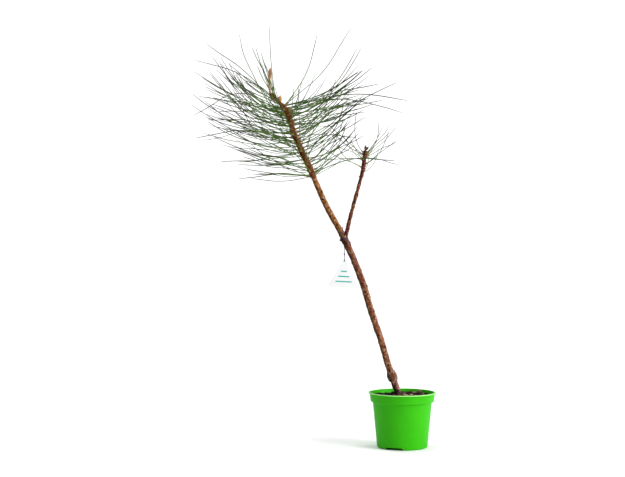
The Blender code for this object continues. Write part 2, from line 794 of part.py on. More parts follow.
def build_tag(parts, material):
    """A white card triangle, its apex up, with a hole for the thread."""
    curve = bpy.data.curves.new("tag_outline", "CURVE")
    curve.dimensions = "2D"
    curve.fill_mode = "BOTH"
    curve.extrude = TAG_THICK / 2
    corners = [(0.0, 0.0), (-TAG_WIDTH / 2, -TAG_HEIGHT), (TAG_WIDTH / 2, -TAG_HEIGHT)]
    hole = []
    for i in range(12):
        angle = math.radians(30 * i)
        hole.append((TAG_HOLE_RADIUS * math.cos(angle), TAG_HOLE_RADIUS * math.sin(angle) - TAG_HOLE_DROP))
    for outline in (rounded(corners, 1.6 * MM), hole):
        spline = curve.splines.new("POLY")
        spline.points.add(len(outline) - 1)
        for at, (x, y) in zip(spline.points, outline):
            at.co = (x, y, 0.0, 1.0)
        spline.use_cyclic_u = True
    card = add_object("tag_outline", curve, parts)
    card.matrix_world = tag_matrix()
    mesh = evaluated_mesh(card)
    bpy.data.objects.remove(card)
    work = bmesh.new()
    work.from_mesh(mesh)
    bmesh.ops.remove_doubles(work, verts=work.verts, dist=1e-6)
    bmesh.ops.recalc_face_normals(work, faces=work.faces)
    work.to_mesh(mesh)
    work.free()
    made = add_object("tag", mesh, parts, material)
    made.matrix_world = tag_matrix()


def rounded(corners, radius, steps=3):
    """The polygon with an arc in place of each corner."""
    points = []
    for i, corner in enumerate(corners):
        here = Vector(corner)
        before = (Vector(corners[i - 1]) - here).normalized()
        after = (Vector(corners[(i + 1) % len(corners)]) - here).normalized()
        half = before.angle(after) / 2
        middle = here + (before + after).normalized() * radius / math.sin(half)
        start = here + before * radius / math.tan(half) - middle
        finish = here + after * radius / math.tan(half) - middle
        for k in range(steps + 1):
            arm = start.lerp(finish, k / steps).normalized() * radius
            points.append(tuple(middle + arm))
    return points


def tag_matrix():
    turn = Matrix.Rotation(math.radians(TAG_TURN), 4, "Z")
    upright = Matrix.Rotation(math.radians(90), 4, "X")
    roll = Matrix.Rotation(math.radians(TAG_ROLL), 4, "Z")
    return Matrix.Translation(TAG_APEX) @ turn @ upright @ roll


def thread_points():
    """Free end up in the fork, down across the front, once round the trunk, and down to the tag."""
    clear = GAP + THREAD_RADIUS + 0.35 * MM
    rows = [Vector((-103.4, -5.6, 388.0)) * MM, Vector((-103.4, -7.2, 380.0)) * MM]
    turns = np.linspace(-100, 188, 15)
    heights = np.linspace(371, 353, 15) * MM
    for turn, height in zip(turns, heights):
        reach = trunk_radius(height) + clear + 0.6 * MM * (turn < -60)
        rows.append(centre_at(TRUNK_PATH, height) + level_direction(turn) * reach * 1.05)
    hole = tag_matrix() @ Vector((0.0, -TAG_HOLE_DROP, 0.0))
    normal = (tag_matrix().to_3x3() @ Vector((0, 0, 1))).normalized()
    rows.append(Vector((hole.x, hole.y, 348 * MM)) + normal * 1.0 * MM)
    rows.append(hole + normal * 1.5 * MM + Vector((0, 0, 4 * MM)))
    rows.append(hole + normal * 1.2 * MM + Vector((0, 0, 0.8 * MM)))
    rows.append(hole)
    rows.append(hole - normal * 1.6 * MM)
    return rows


def build_thread(parts, material):
    points = thread_points()
    radii = [THREAD_RADIUS] * len(points)
    radii[-1] = radii[-2] = KNOT_RADIUS * 0.7
    made = welded_tube("tag_thread", points, radii, parts, resolution=1)
    made.data.materials.append(material)
    shade_round(made.data)


def main():
    clear_scene()
    parts = new_collection("potted_black_pine")
    cutters = new_collection("cutters")
    cutters.hide_render = True
    green = new_material("green plastic", (0.10, 0.50, 0.02), 0.42)
    earth = new_material("dark potting soil", (0.03, 0.018, 0.012), 0.95)
    bark = new_material("red brown bark", (0.22, 0.07, 0.025), 0.8)
    needle = new_material("pine needles", (0.045, 0.13, 0.025), 0.5)
    dry = new_material("dry candle", (0.42, 0.2, 0.1), 0.8)
    brown = new_material("orange brown bud", (0.35, 0.12, 0.04), 0.7)
    dark = new_material("dark bud", (0.06, 0.025, 0.02), 0.8)
    card = new_material("white card", (0.86, 0.87, 0.87), 0.6)
    grey = new_material("grey thread", (0.12, 0.12, 0.14), 0.6)

    build_pot(parts, cutters, green)
    build_soil(parts, earth)
    trunk_room = build_trunk(parts, cutters, bark)
    build_branch(parts, trunk_room, bark)
    build_buds(parts, cutters, trunk_room, dry, brown, dark)
    masses = leader_masses()
    grow_all(masses)
    for mass in masses.values():
        print(mass.name, len(mass.needles), "needles")
        build_mass(mass, parts, needle)
    build_tag(parts, card)
    build_thread(parts, grey)


main()
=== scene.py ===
import math
import random

import bmesh
import bpy
import numpy as np
from mathutils import Matrix, Vector, noise


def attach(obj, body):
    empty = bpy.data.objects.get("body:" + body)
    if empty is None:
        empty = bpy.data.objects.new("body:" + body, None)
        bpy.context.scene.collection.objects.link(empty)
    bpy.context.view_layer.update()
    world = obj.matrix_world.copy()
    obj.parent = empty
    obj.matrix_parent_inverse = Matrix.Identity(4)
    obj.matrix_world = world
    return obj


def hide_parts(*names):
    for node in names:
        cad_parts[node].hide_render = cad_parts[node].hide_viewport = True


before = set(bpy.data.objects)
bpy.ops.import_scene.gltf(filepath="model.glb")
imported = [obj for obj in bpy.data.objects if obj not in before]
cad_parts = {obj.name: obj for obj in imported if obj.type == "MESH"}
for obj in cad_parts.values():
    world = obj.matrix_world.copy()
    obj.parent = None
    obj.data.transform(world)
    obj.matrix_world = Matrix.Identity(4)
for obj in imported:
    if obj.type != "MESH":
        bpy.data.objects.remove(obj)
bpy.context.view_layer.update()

mm = 0.001
circle = 6.28  # about a full turn, for random angles
print("frame loaded,", len(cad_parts), "nodes")


# Small helpers for meshes

def linked(name, data):
    thing = bpy.data.objects.new(name, data)
    bpy.context.scene.collection.objects.link(thing)
    return thing


def makeObject(name, mesh, replaced=()):
    piece = linked(name, mesh)
    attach(piece, "root")
    if replaced:
        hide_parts(*replaced)


class MeshBin:
    # collects points and faces of many small shapes for one joined mesh
    def __init__(self):
        self.points, self.faces, self.slots = [], [], []
        self.count = 0

    def add(self, points, faces, slots=0):
        self.points.append(np.asarray(points, float))
        self.faces += [tuple(self.count + i for i in face) for face in faces]
        self.slots += [slots] * len(faces) if isinstance(slots, int) else slots
        self.count += len(points)

    def mesh(self, name, materials):
        made = bpy.data.meshes.new(name)
        made.from_pydata(np.concatenate(self.points).tolist(), [], self.faces)
        for material in materials:
            made.materials.append(material)
        made.polygons.foreach_set("material_index", self.slots)
        made.validate()
        made.shade_smooth()
        return made


def sweepFrames(points):
    # unit sides and ups along a line, carried on without twist
    points = np.asarray(points, float)
    along = np.gradient(points, axis=0)
    along /= np.linalg.norm(along, axis=1)[:, None]
    side = np.cross(along[0], (0.0, 1.0, 0.0))
    if np.linalg.norm(side) < 0.1:
        side = np.cross(along[0], (1.0, 0.0, 0.0))
    sides = []
    for direction in along:
        side = side - direction * side.dot(direction)
        side /= np.linalg.norm(side)
        sides.append(side)
    sides = np.array(sides)
    return sides, np.cross(along, sides)


def tubeFaces(rows, sides, start=0):
    # the quads between neighbouring rings of points
    faces = []
    for low in range(start, start + (rows - 1) * sides, sides):
        for i in range(sides):
            j = (i + 1) % sides
            faces.append((low + i, low + j, low + sides + j, low + sides + i))
    return faces


def sweepTube(points, radii, sides, relief=None, flat=1.0):
    # a closed tube along a line; relief is extra radius by row and side, flat squeezes the section
    points = np.asarray(points, float)
    side, up = sweepFrames(points)
    turns = np.linspace(0, 2 * math.pi, sides, endpoint=False)
    radius = np.repeat(np.asarray(radii, float)[:, None], sides, axis=1)
    if relief is not None:
        radius = radius + relief
    ring = (
        side[:, None] * (np.cos(turns)[None, :, None] * radius[..., None])
        + up[:, None] * (np.sin(turns)[None, :, None] * radius[..., None] * flat)
    )
    verts = (points[:, None] + ring).reshape(-1, 3)
    last = (len(points) - 1) * sides
    ends = [tuple(range(sides - 1, -1, -1)), tuple(range(last, last + sides))]
    return verts, tubeFaces(len(points), sides) + ends


# Limbs, as the solids have them: height, x and y of the centre line in millimetres

limbs = {
    "trunkPath": (
        (84.0, -3.0, 0.0), (100.0, -8.9, 0.0), (125.0, -17.8, 0.0), (146.0, -25.2, 1.0),
        (188.0, -37.2, 3.0), (231.0, -51.8, 5.0), (295.0, -71.4, 6.0), (366.0, -101.5, 2.0),
        (425.0, -133.5, 0.0),
        (500.0, -166.7, 2.0), (553.0, -191.0, 3.5), (600.0, -209.6, 3.5), (612.0, -220.5, 2.5),
        (622.0, -231.0, 2.0), (642.0, -234.4, 2.0), (670.0, -232.0, 3.0),
    ),
    "branchPath": (
        (360.0, -102.0, 1.5), (383.0, -97.0, 1.0), (425.0, -86.6, 3.0),
        (468.0, -74.6, 6.0), (489.0, -69.3, 7.0), (524.0, -64.6, 7.0),
    ),
    "trunkRadii": (
        (84, 4.9), (107, 5.7), (142, 5.5), (200, 5.3), (240, 5.7), (280, 5.7), (330, 5.5),
        (366, 5.6), (385, 5.0),
        (440, 4.9), (466, 4.6), (480, 3.0), (620, 2.1),
    ),
    "branchRadii": ((360, 3.7), (400, 3.0), (468, 2.8), (480, 2.1), (524, 1.9)),
    "candleRadii": ((624, 2.2), (629, 2.0), (650, 2.3), (655, 3.1), (664, 3.4), (669, 2.2)),
    "swellings": ((86.0, 3.2, 7.0), (125.0, 3.1, 7.0), (366.0, 1.0, 9.0), (620.0, 1.0, 5.0)),
    "gap": 0.3 * mm,
    "trunkFoot": 89.0 * mm,
    "trunkTip": 624.0 * mm,
    "candleTip": 669.0 * mm,
    "budFoot": 609.0 * mm,
    "budOffset": Vector((1.0, 0.0, 0.0)) * mm,
    "budLength": 12.5 * mm,
    "budRadius": 3.0 * mm,
    "branchTip": 524.0 * mm,
}


def valueAt(stations, height):
    rows = np.array(stations, float)
    heights, values = rows[:, 0] * mm, rows[:, 1:] * mm
    slopes = np.gradient(values, heights, axis=0)
    i = int(np.clip(np.searchsorted(heights, height) - 1, 0, len(heights) - 2))
    span = heights[i + 1] - heights[i]
    t = np.clip((height - heights[i]) / span, 0.0, 1.0)
    a = values[i] * (1 + 2 * t) * (1 - t) ** 2 + slopes[i] * span * t * (1 - t) ** 2
    b = values[i + 1] * t * t * (3 - 2 * t) + slopes[i + 1] * span * t * t * (t - 1)
    return a + b


def centreAt(path, height):
    x, y = valueAt(path, height)
    return Vector((x, y, height))


def tangentAt(path, height):
    return (centreAt(path, height + mm) - centreAt(path, height - mm)).normalized()


def straightRadius(radii, height):
    rows = np.array(radii, float) * mm
    return float(np.interp(height, rows[:, 0], rows[:, 1]))


def trunkRadius(height):
    radius = straightRadius(limbs["trunkRadii"], height)
    for middle, extra, spread in limbs["swellings"]:
        radius += extra * mm * math.exp(-(((height / mm - middle) / spread) ** 2))
    return radius


def branchRadius(height):
    return straightRadius(limbs["branchRadii"], height)


def candleRadius(height):
    return straightRadius(limbs["candleRadii"], height)


def levelDirection(heading):
    return Vector((math.cos(math.radians(heading)), math.sin(math.radians(heading)), 0.0))


def outward(path, height, heading):
    along = tangentAt(path, height)
    level = levelDirection(heading)
    return (level - along * level.dot(along)).normalized()


def angleOff(turn, middle):
    return (turn - middle + 180) % 360 - 180


# Shader groups that several finishes share

socketKinds = {1: "NodeSocketFloat", 3: "NodeSocketVector", 4: "NodeSocketColor"}  # by the count of values


def newGroup(name, inputs, outputs):
    group = bpy.data.node_groups.new(name, "ShaderNodeTree")
    for label, value in inputs.items():
        size = len(value) if isinstance(value, tuple) else 1
        socket = group.interface.new_socket(label, in_out="INPUT", socket_type=socketKinds[size])
        socket.default_value = value
    for label, size in outputs.items():
        group.interface.new_socket(label, in_out="OUTPUT", socket_type=socketKinds[size])
    return group, group.nodes.new("NodeGroupInput"), group.nodes.new("NodeGroupOutput")


def addNode(tree, kind, values=None, **settings):
    node = tree.nodes.new("ShaderNode" + kind)
    for key, value in settings.items():
        setattr(node, key, value)
    for key, value in (values or {}).items():
        node.inputs[key].default_value = value
    return node


def wire(tree, *links):
    # each link: a node and its output, then a node and its input
    for source, output, target, entry in links:
        tree.links.new(source.outputs[output], target.inputs[entry])


def stretchedPlace(group, start):
    place = addNode(group, "TexCoord")
    stretch = addNode(group, "VectorMath", operation="MULTIPLY")
    wire(group, (place, "Object", stretch, 0), (start, "Stretch", stretch, 1))
    return stretch


def mottleGroup():
    # two scales of noise that mix a colour towards a second and a third one
    inputs = {"Base": (0.5, 0.5, 0.5, 1), "Dark": (0.2, 0.2, 0.2, 1), "Pale": (0.8, 0.8, 0.8, 1),
              "Scale": 100.0, "Contrast": 0.5, "Stretch": (1.0, 1.0, 1.0)}
    group, start, end = newGroup("mottle", inputs, {"Color": 4})
    stretch = stretchedPlace(group, start)
    finer = addNode(group, "Math", operation="MULTIPLY")
    finer.inputs[1].default_value = 3.7
    wire(group, (start, "Scale", finer, 0))
    colour = (start, "Base")
    for tone, scale, detail, roughness, low, high in (
        ("Dark", (start, "Scale"), 4.0, 0.6, 0.5, 0.72), ("Pale", (finer, 0), 3.0, 0.7, 0.55, 0.75),
    ):
        texture = addNode(group, "TexNoise", {"Detail": detail, "Roughness": roughness})
        spread = addNode(group, "MapRange", {"From Min": low, "From Max": high})
        amount = addNode(group, "Math", operation="MULTIPLY")
        mix = addNode(group, "Mix", data_type="RGBA")
        wire(group, (stretch, 0, texture, "Vector"), (*scale, texture, "Scale"),
             (texture, "Fac", spread, "Value"), (spread, 0, amount, 0), (start, "Contrast", amount, 1),
             (amount, 0, mix, "Factor"), (*colour, mix, "A"), (start, tone, mix, "B"))
        colour = (mix, "Result")
    wire(group, (*colour, end, "Color"))
    return group


def grainGroup():
    # fine surface grain: a bumped normal and a roughness that follows it
    inputs = {"Scale": 800.0, "Depth": 0.0002, "Strength": 0.3, "Rough Low": 0.4, "Rough High": 0.6,
              "Stretch": (1.0, 1.0, 1.0)}
    group, start, end = newGroup("grain", inputs, {"Normal": 3, "Roughness": 1})
    stretch = stretchedPlace(group, start)
    texture = addNode(group, "TexNoise", {"Detail": 5.0, "Roughness": 0.65})
    bump = addNode(group, "Bump")
    rough = addNode(group, "MapRange", {"From Min": 0.3, "From Max": 0.7})
    wire(group, (stretch, 0, texture, "Vector"), (start, "Scale", texture, "Scale"),
         (texture, "Fac", bump, "Height"), (start, "Depth", bump, "Distance"),
         (start, "Strength", bump, "Strength"), (texture, "Fac", rough, "Value"),
         (start, "Rough Low", rough, "To Min"), (start, "Rough High", rough, "To Max"),
         (bump, "Normal", end, "Normal"), (rough, 0, end, "Roughness"))
    return group


def flakesWithPaintedShadeGroup():
    # flakes of two tones with dark cracks, with painted shade on the side that faces -X and a painted
    # highlight on the side that faces +X
    inputs = {"Crack": (0.05, 0.02, 0.01, 1), "Middle": (0.2, 0.1, 0.05, 1), "Ridge": (0.4, 0.3, 0.2, 1),
              "Scale": 300.0, "Stretch": (1.0, 1.0, 0.5), "Painted Highlight Amount": 0.6}
    group, start, end = newGroup("flakes", inputs, {"Color": 4, "Height": 1})
    stretch = stretchedPlace(group, start)
    scale = addNode(group, "VectorMath", operation="SCALE")
    sway = addNode(group, "TexNoise", {"Scale": 1.3, "Detail": 3.0})
    warp = addNode(group, "VectorMath", {"Scale": 0.9}, operation="SCALE")
    warped = addNode(group, "VectorMath", operation="ADD")
    cells = addNode(group, "TexVoronoi", {"Scale": 1.0})
    edges = addNode(group, "TexVoronoi", {"Scale": 1.0}, feature="DISTANCE_TO_EDGE")
    grit = addNode(group, "TexNoise", {"Scale": 3.1, "Detail": 5.0, "Roughness": 0.7})
    wire(group, (stretch, 0, scale, 0), (start, "Scale", scale, "Scale"), (scale, 0, sway, "Vector"),
         (sway, "Color", warp, 0), (scale, 0, warped, 0), (warp, 0, warped, 1),
         (warped, 0, cells, "Vector"), (warped, 0, edges, "Vector"), (warped, 0, grit, "Vector"))
    # each flake's own tone, with cracks and pits cut into it
    tone = addNode(group, "SeparateColor")
    mixed = addNode(group, "Math", operation="MULTIPLY_ADD")
    mixed.inputs[1].default_value = 0.5
    ridge = addNode(group, "MapRange", {"From Min": 0.72, "From Max": 1.0})
    crack = addNode(group, "MapRange", {"From Max": 0.1, "To Min": 1.0, "To Max": 0.0})
    pits = addNode(group, "MapRange", {"From Min": 0.39, "From Max": 0.49, "To Min": 1.0, "To Max": 0.0})
    dark = addNode(group, "Math", operation="MAXIMUM")
    height = addNode(group, "Math", operation="SUBTRACT")
    wire(group, (cells, "Color", tone, 0), (tone, 0, mixed, 0), (grit, "Fac", mixed, 2),
         (mixed, 0, ridge, "Value"), (edges, "Distance", crack, "Value"), (grit, "Fac", pits, "Value"),
         (crack, 0, dark, 0), (pits, 0, dark, 1), (mixed, 0, height, 0), (dark, 0, height, 1),
         (height, 0, end, "Height"))
    # the way the surface faces along X gives the painted shade, darker towards -X and lighter towards +X, and
    # the share of the painted highlight
    surface = addNode(group, "NewGeometry")
    facing = addNode(group, "SeparateXYZ")
    paintedSideShade = addNode(group, "MapRange", {"From Min": -0.9, "From Max": 0.9, "To Min": 0.35, "To Max": 1.25})
    raggedHighlightSide = addNode(group, "Math", operation="ADD")
    paintedHighlightMask = addNode(group, "MapRange", {"From Min": 0.95, "From Max": 1.5})
    paintedHighlightShare = addNode(group, "Math", operation="MULTIPLY")
    wire(group, (surface, "Normal", facing, 0), (facing, "X", paintedSideShade, "Value"), (facing, "X", raggedHighlightSide, 0),
         (grit, "Fac", raggedHighlightSide, 1), (raggedHighlightSide, 0, paintedHighlightMask, "Value"), (paintedHighlightMask, 0, paintedHighlightShare, 0),
         (start, "Painted Highlight Amount", paintedHighlightShare, 1))
    # the pale colour mixed in on the +X side is the painted highlight, and the painted shade then scales the
    # whole colour
    toRidge = addNode(group, "Mix", data_type="RGBA")
    toPaintedHighlight = addNode(group, "Mix", {"B": (0.5, 0.36, 0.3, 1)}, data_type="RGBA")
    toCrack = addNode(group, "Mix", data_type="RGBA")
    withPaintedShade = addNode(group, "VectorMath", operation="SCALE")
    wire(group, (ridge, 0, toRidge, "Factor"), (start, "Middle", toRidge, "A"),
         (start, "Ridge", toRidge, "B"), (paintedHighlightShare, 0, toPaintedHighlight, "Factor"),
         (toRidge, "Result", toPaintedHighlight, "A"),
         (dark, 0, toCrack, "Factor"), (toPaintedHighlight, "Result", toCrack, "A"), (start, "Crack", toCrack, "B"),
         (toCrack, "Result", withPaintedShade, 0), (paintedSideShade, 0, withPaintedShade, "Scale"), (withPaintedShade, 0, end, "Color"))
    return group


groups = {"mottle": mottleGroup(), "grain": grainGroup(), "flakes": flakesWithPaintedShadeGroup()}


def addEffect(tree, effect, values):
    # the values come in the order of the group's inputs; those left out keep the group's own
    node = addNode(tree, "Group", node_tree=groups[effect])
    for socket, value in zip(node.inputs, values):
        socket.default_value = (*value, 1.0) if socket.type == "RGBA" else value
    return node


def finish(name, tones, grain, gloss=0.5, effect="mottle", shaderValues=None):
    # a material from a colour group and the grain group; gloss and shaderValues go on the shader itself
    material = bpy.data.materials.new(name)
    material.use_nodes = True
    tree = material.node_tree
    shader = tree.nodes["Principled BSDF"]
    colour = addEffect(tree, effect, tones)
    relief = addEffect(tree, "grain", grain)
    normal = relief
    if effect == "flakes":
        normal = addNode(tree, "Bump", {"Distance": 0.5 * mm, "Strength": 0.8})
        wire(tree, (colour, "Height", normal, "Height"), (relief, "Normal", normal, "Normal"))
    wire(tree, (colour, "Color", shader, "Base Color"), (normal, "Normal", shader, "Normal"),
         (relief, "Roughness", shader, "Roughness"))
    shader.inputs["Specular IOR Level"].default_value = gloss
    for key, value in (shaderValues or {}).items():
        shader.inputs[key].default_value = value
    return material


def finishAll(table):
    # a row each: base, dark and pale colour, scale, contrast (and stretch); grain scale, depth, strength,
    # roughness from and to (and stretch); gloss
    return [finish(name, *row) for name, row in table.items()]


def scaled(colour, factor, extra=0.0):
    return tuple(factor * c + extra for c in colour)


# Pot: turned shell with a lip, a band, a stepped shoulder and three notches in the foot

pot = {
    "rimRadius": 60.0 * mm, "rimTop": 97.0 * mm, "lipThick": 2.6 * mm,
    "bandTopRadius": 57.7 * mm, "bandFootRadius": 56.3 * mm, "bandFoot": 80.6 * mm,
    "bodyTopRadius": 52.4 * mm, "bodyFootRadius": 44.6 * mm, "footEdge": 2.4 * mm,
    "wall": 1.4 * mm, "footRingWidth": 5.2 * mm, "footHeight": 4.3 * mm, "padRadius": 26.0 * mm,
    "steps": 160, "notchCount": 3, "notchHeading": -113.0, "notchWidth": 30.0 * mm,
    "round": 0.45 * mm, "sharpAngle": 32, "lipHeight": 1.3 * mm, "lipWidth": 2.4 * mm,
    "waveFrom": (40.0 * mm, 6.0 * mm), "wave": 0.25 * mm,
    "tones": {
        "greenPlastic": ((0.034, 0.405, 0.003), (0.024, 0.34, 0.002), (0.045, 0.46, 0.006), 26.0, 0.35),
        # the second finish, a paler green on the top of the lip, is a painted highlight
        "lipPaintedHighlight": ((0.3, 0.66, 0.2), (0.16, 0.55, 0.08), (0.5, 0.78, 0.42), 90.0, 0.6),
    },
    "grain": (900.0, 0.00012, 0.25, 0.4, 0.55), "gloss": 0.08,
    "glow": {"Subsurface Weight": 0.1, "Subsurface Scale": 0.003},
}


def potProfile():
    p = pot
    ringInner = p["bodyFootRadius"] - p["footRingWidth"]
    floor = p["footHeight"] + p["wall"]
    edge = p["footEdge"]
    outer = [
        (p["rimRadius"] - 1.4 * mm, p["rimTop"]),
        (p["rimRadius"], p["rimTop"] - 0.9 * mm),
        (p["rimRadius"], p["rimTop"] - p["lipThick"]),
        (p["bandTopRadius"], p["rimTop"] - p["lipThick"] - 0.6 * mm),
        (p["bandFootRadius"], p["bandFoot"] + 0.5 * mm),
        (p["bandFootRadius"] - 0.8 * mm, p["bandFoot"]),
        (p["bodyTopRadius"], p["bandFoot"] - 0.8 * mm),
        (p["bodyFootRadius"], edge),
        (p["bodyFootRadius"] - 0.35 * edge, 0.3 * edge),
        (p["bodyFootRadius"] - edge, 0.0),
    ]
    under = [
        (ringInner, 0.0),
        (ringInner - 0.6 * mm, p["footHeight"]),
        (p["padRadius"] + 0.8 * mm, p["footHeight"]),
        (p["padRadius"], 0.0),
        (0.0, 0.0),
    ]
    inside = [
        (0.0, p["wall"]),
        (p["padRadius"] - p["wall"], p["wall"]),
        (p["padRadius"] - 0.6 * mm, floor),
        (p["bodyFootRadius"] - p["wall"], floor),
        (p["bodyTopRadius"] - p["wall"], p["bandFoot"]),
        (p["bandFootRadius"] - p["wall"], p["bandFoot"] + p["wall"]),
        (p["bandTopRadius"] - p["wall"], p["rimTop"] - 0.7 * mm),
        (p["rimRadius"] - 3.0 * mm, p["rimTop"]),
    ]
    return outer + under + inside


def roundedProfile(profile, radius):
    # an arc of three points in place of each corner that isn't on the axis
    points = []
    for i, corner in enumerate(profile):
        here = Vector(corner)
        before = Vector(profile[i - 1]) - here
        after = Vector(profile[(i + 1) % len(profile)]) - here
        if corner[0] < radius:
            points.append(tuple(here))
            continue
        reach = min(radius, 0.4 * before.length, 0.4 * after.length)
        start = here + before.normalized() * reach
        end = here + after.normalized() * reach
        for t in (0.0, 0.5, 1.0):
            bend = start * (1 - t) ** 2 + here * 2 * t * (1 - t) + end * t * t
            points.append(tuple(bend))
    return points


def notchCutter(number):
    # a block, wider at its foot, that cuts one notch
    heading = math.radians(pot["notchHeading"] + 360.0 * number / pot["notchCount"])
    middle = pot["bodyFootRadius"] - 0.3 * pot["footRingWidth"]
    size = Vector((3.5 * pot["footRingWidth"], pot["notchWidth"], pot["footHeight"] + 2 * mm))
    work = bmesh.new()
    bmesh.ops.create_cube(work, size=1.0, matrix=Matrix.Diagonal((*size, 1.0)))
    for vert in work.verts:
        if vert.co.z < 0:
            vert.co.y *= 1.12
    upper = [e for e in work.edges if all(v.co.z > 0 for v in e.verts)]
    bmesh.ops.bevel(work, geom=upper, offset=1.0 * mm, segments=3, affect="EDGES")
    cut = bpy.data.meshes.new("notchShape")
    work.to_mesh(cut)
    work.free()
    cutter = linked("notchCutter", cut)
    cutter.location = (middle * math.cos(heading), middle * math.sin(heading), pot["footHeight"] - size.z / 2)
    cutter.rotation_euler.z = heading
    return cutter


def buildPot():
    profile = roundedProfile(potProfile(), pot["round"])
    profile.append(profile[0])
    mesh = bpy.data.meshes.new("potShape")
    mesh.from_pydata([(r, 0, z) for r, z in profile], [(i, i + 1) for i in range(len(profile) - 1)], [])
    raw = linked("potRaw", mesh)
    screw = raw.modifiers.new("turn", "SCREW")
    screw.steps = screw.render_steps = pot["steps"]
    screw.use_merge_vertices = True
    screw.merge_threshold = 0.01 * mm
    cutters = [notchCutter(number) for number in range(pot["notchCount"])]
    for cutter in cutters:
        boolean = raw.modifiers.new("notch", "BOOLEAN")
        boolean.operation = "DIFFERENCE"
        boolean.object = cutter
    graph = bpy.context.evaluated_depsgraph_get()
    made = bpy.data.meshes.new_from_object(raw.evaluated_get(graph))
    for used in [raw, *cutters]:
        bpy.data.objects.remove(used)
    outside, above = pot["waveFrom"]
    for vert in made.vertices:  # the wall of a thin moulded pot is never quite true
        away = Vector((vert.co.x, vert.co.y, 0))
        if away.length > outside and vert.co.z > above:
            turn = math.atan2(away.y, away.x)
            lift = (vert.co.z / pot["rimTop"]) ** 2
            vert.co -= away.normalized() * lift * pot["wave"] * (1 + math.sin(2 * turn + 0.6))
    made.shade_smooth()
    made.set_sharp_from_angle(angle=math.radians(pot["sharpAngle"]))
    for name, tones in pot["tones"].items():
        made.materials.append(finish(name, tones, pot["grain"], pot["gloss"], shaderValues=pot["glow"]))
    # faces on the top of the lip take the second finish, the painted highlight
    for face in made.polygons:
        x, y, z = face.center
        isHigh = z > pot["rimTop"] - pot["lipHeight"]
        face.material_index = int(isHigh and math.hypot(x, y) > pot["rimRadius"] - pot["lipWidth"])
    makeObject("pot_shell", made, ["pot"])
    print("pot made,", len(made.polygons), "faces")


# Soil: a lumpy surface with crumbs, bark chips and a few coarse lumps

soil = {
    "top": 89.0 * mm, "floor": 6.0 * mm, "room": 0.5 * mm, "flatRadius": 13.0 * mm, "lump": 4.5 * mm,
    "rings": 60, "steps": 180, "seed": 5, "limit": 99.5 * mm,
    # crumbs, then chips: count, nearest, farthest, two sizes in mm, flatness, share of the first tone, tones
    "scatter": ((560, 0.01, 0.97, 0.5, 1.5, 1.0, 0.88, (0, 1)),
                (54, 0.03, 0.92, 1.5, 3.2, 0.45, 0.6, (1, 0))),
    # the lumps that show over the rim: place and size in mm, tone
    "lumps": (
        (-34, 20, 4.4, 0), (-27, 30, 3.8, 0), (-15, 26, 3.4, 0), (-22, 12, 3.2, 0), (-36, 4, 3.0, 0),
        (6, 34, 3.0, 2), (33, 27, 6.2, 1), (43, 20, 5.0, 0), (25, 36, 4.4, 1), (37, 12, 4.2, 1),
        (46, 6, 3.4, 0), (28, 16, 4.6, 0), (7, 8, 4.6, 2), (13, 13, 5.0, 1),
        (4, 15, 4.2, 2), (18, 20, 4.8, 2),
    ),
    "footGrit": 26, "lipRadius": 57.6 * mm, "lipCrumbs": (-168, -175, 176, 168),
    "finishes": {
        "pottingSoil": (((0.011, 0.007, 0.005), (0.003, 0.002, 0.002), (0.05, 0.03, 0.02), 260.0, 0.8),
                        (1500.0, 0.0006, 0.8, 0.8, 1.0), 0.1),
        "barkChips": (((0.17, 0.08, 0.065), (0.03, 0.012, 0.01), (0.45, 0.3, 0.27), 420.0, 0.8),
                      (1800.0, 0.0004, 0.7, 0.7, 0.95), 0.15),
        "paleGrit": (((0.32, 0.23, 0.12), (0.1, 0.1, 0.03), (0.5, 0.42, 0.28), 420.0, 0.8),
                     (1800.0, 0.0004, 0.5, 0.7, 0.95)),
    },
}


def soilHeight(radius, angle, phases):
    away = min(1.0, max(0.0, (radius - soil["flatRadius"]) / (10 * mm)))
    lump = 0.0
    for waves, phase, ripple in phases:
        lump += math.sin(waves * angle + phase) * math.cos(radius / mm * ripple + 2 * phase)
    lump = soil["lump"] * (0.35 + 0.3 * lump)
    return soil["top"] + away * max(-1.5 * mm, lump)


def soilPhases():
    rng = random.Random(growth["seed"])
    return [(w, rng.uniform(0, circle), rng.uniform(0.11, 0.2)) for w in (2, 3, 5)]


def soilRelief(x, y, phases):
    radius, angle = math.hypot(x, y), math.atan2(y, x)
    spot = Vector((x, y, 0))
    clods = noise.noise(spot * 120) * 2.2 * mm + noise.noise(spot * 420) * 1.1 * mm
    cells = noise.voronoi(spot * 230)[0]
    clods += (0.5 - min(1.0, cells[0] * 1.4)) * 1.6 * mm + noise.noise(spot * 1400) * 0.35 * mm
    edge = min(1.0, max(0.0, (54.0 * mm - radius) / (2 * mm)))
    return soilHeight(radius, angle, phases) + clods * edge - 0.3 * mm


def soilRadiusAt(height):
    p = pot
    if height > p["bandFoot"] + p["wall"]:
        return p["bandFootRadius"] - p["wall"] - soil["room"]
    share = (height - p["footEdge"]) / (p["bandFoot"] - p["footEdge"])
    return p["bodyFootRadius"] + share * (p["bodyTopRadius"] - p["bodyFootRadius"]) - p["wall"] - soil["room"]


def pebble(rng, radius, flatness):
    # a small angular crumb from a knobbly ball
    work = bmesh.new()
    bmesh.ops.create_icosphere(work, subdivisions=1, radius=1.0)
    lean = Vector([rng.uniform(-1, 1) for _ in range(3)]) * 3
    stretch = Vector((rng.uniform(0.8, 1.5), rng.uniform(0.7, 1.1), rng.uniform(0.5, 0.9) * flatness))
    points = []
    for vert in work.verts:
        knob = 1 + 0.45 * noise.noise(vert.co * 1.3 + lean)
        drawn = Vector((vert.co.x * stretch.x, vert.co.y * stretch.y, vert.co.z * stretch.z))
        points.append(drawn * knob * radius)
    faces = [tuple(v.index for v in f.verts) for f in work.faces]
    work.free()
    turn = Matrix.Rotation(rng.uniform(0, circle), 3, "Z") @ Matrix.Rotation(rng.gauss(0, 0.4), 3, "X")
    return [turn @ p for p in points], faces


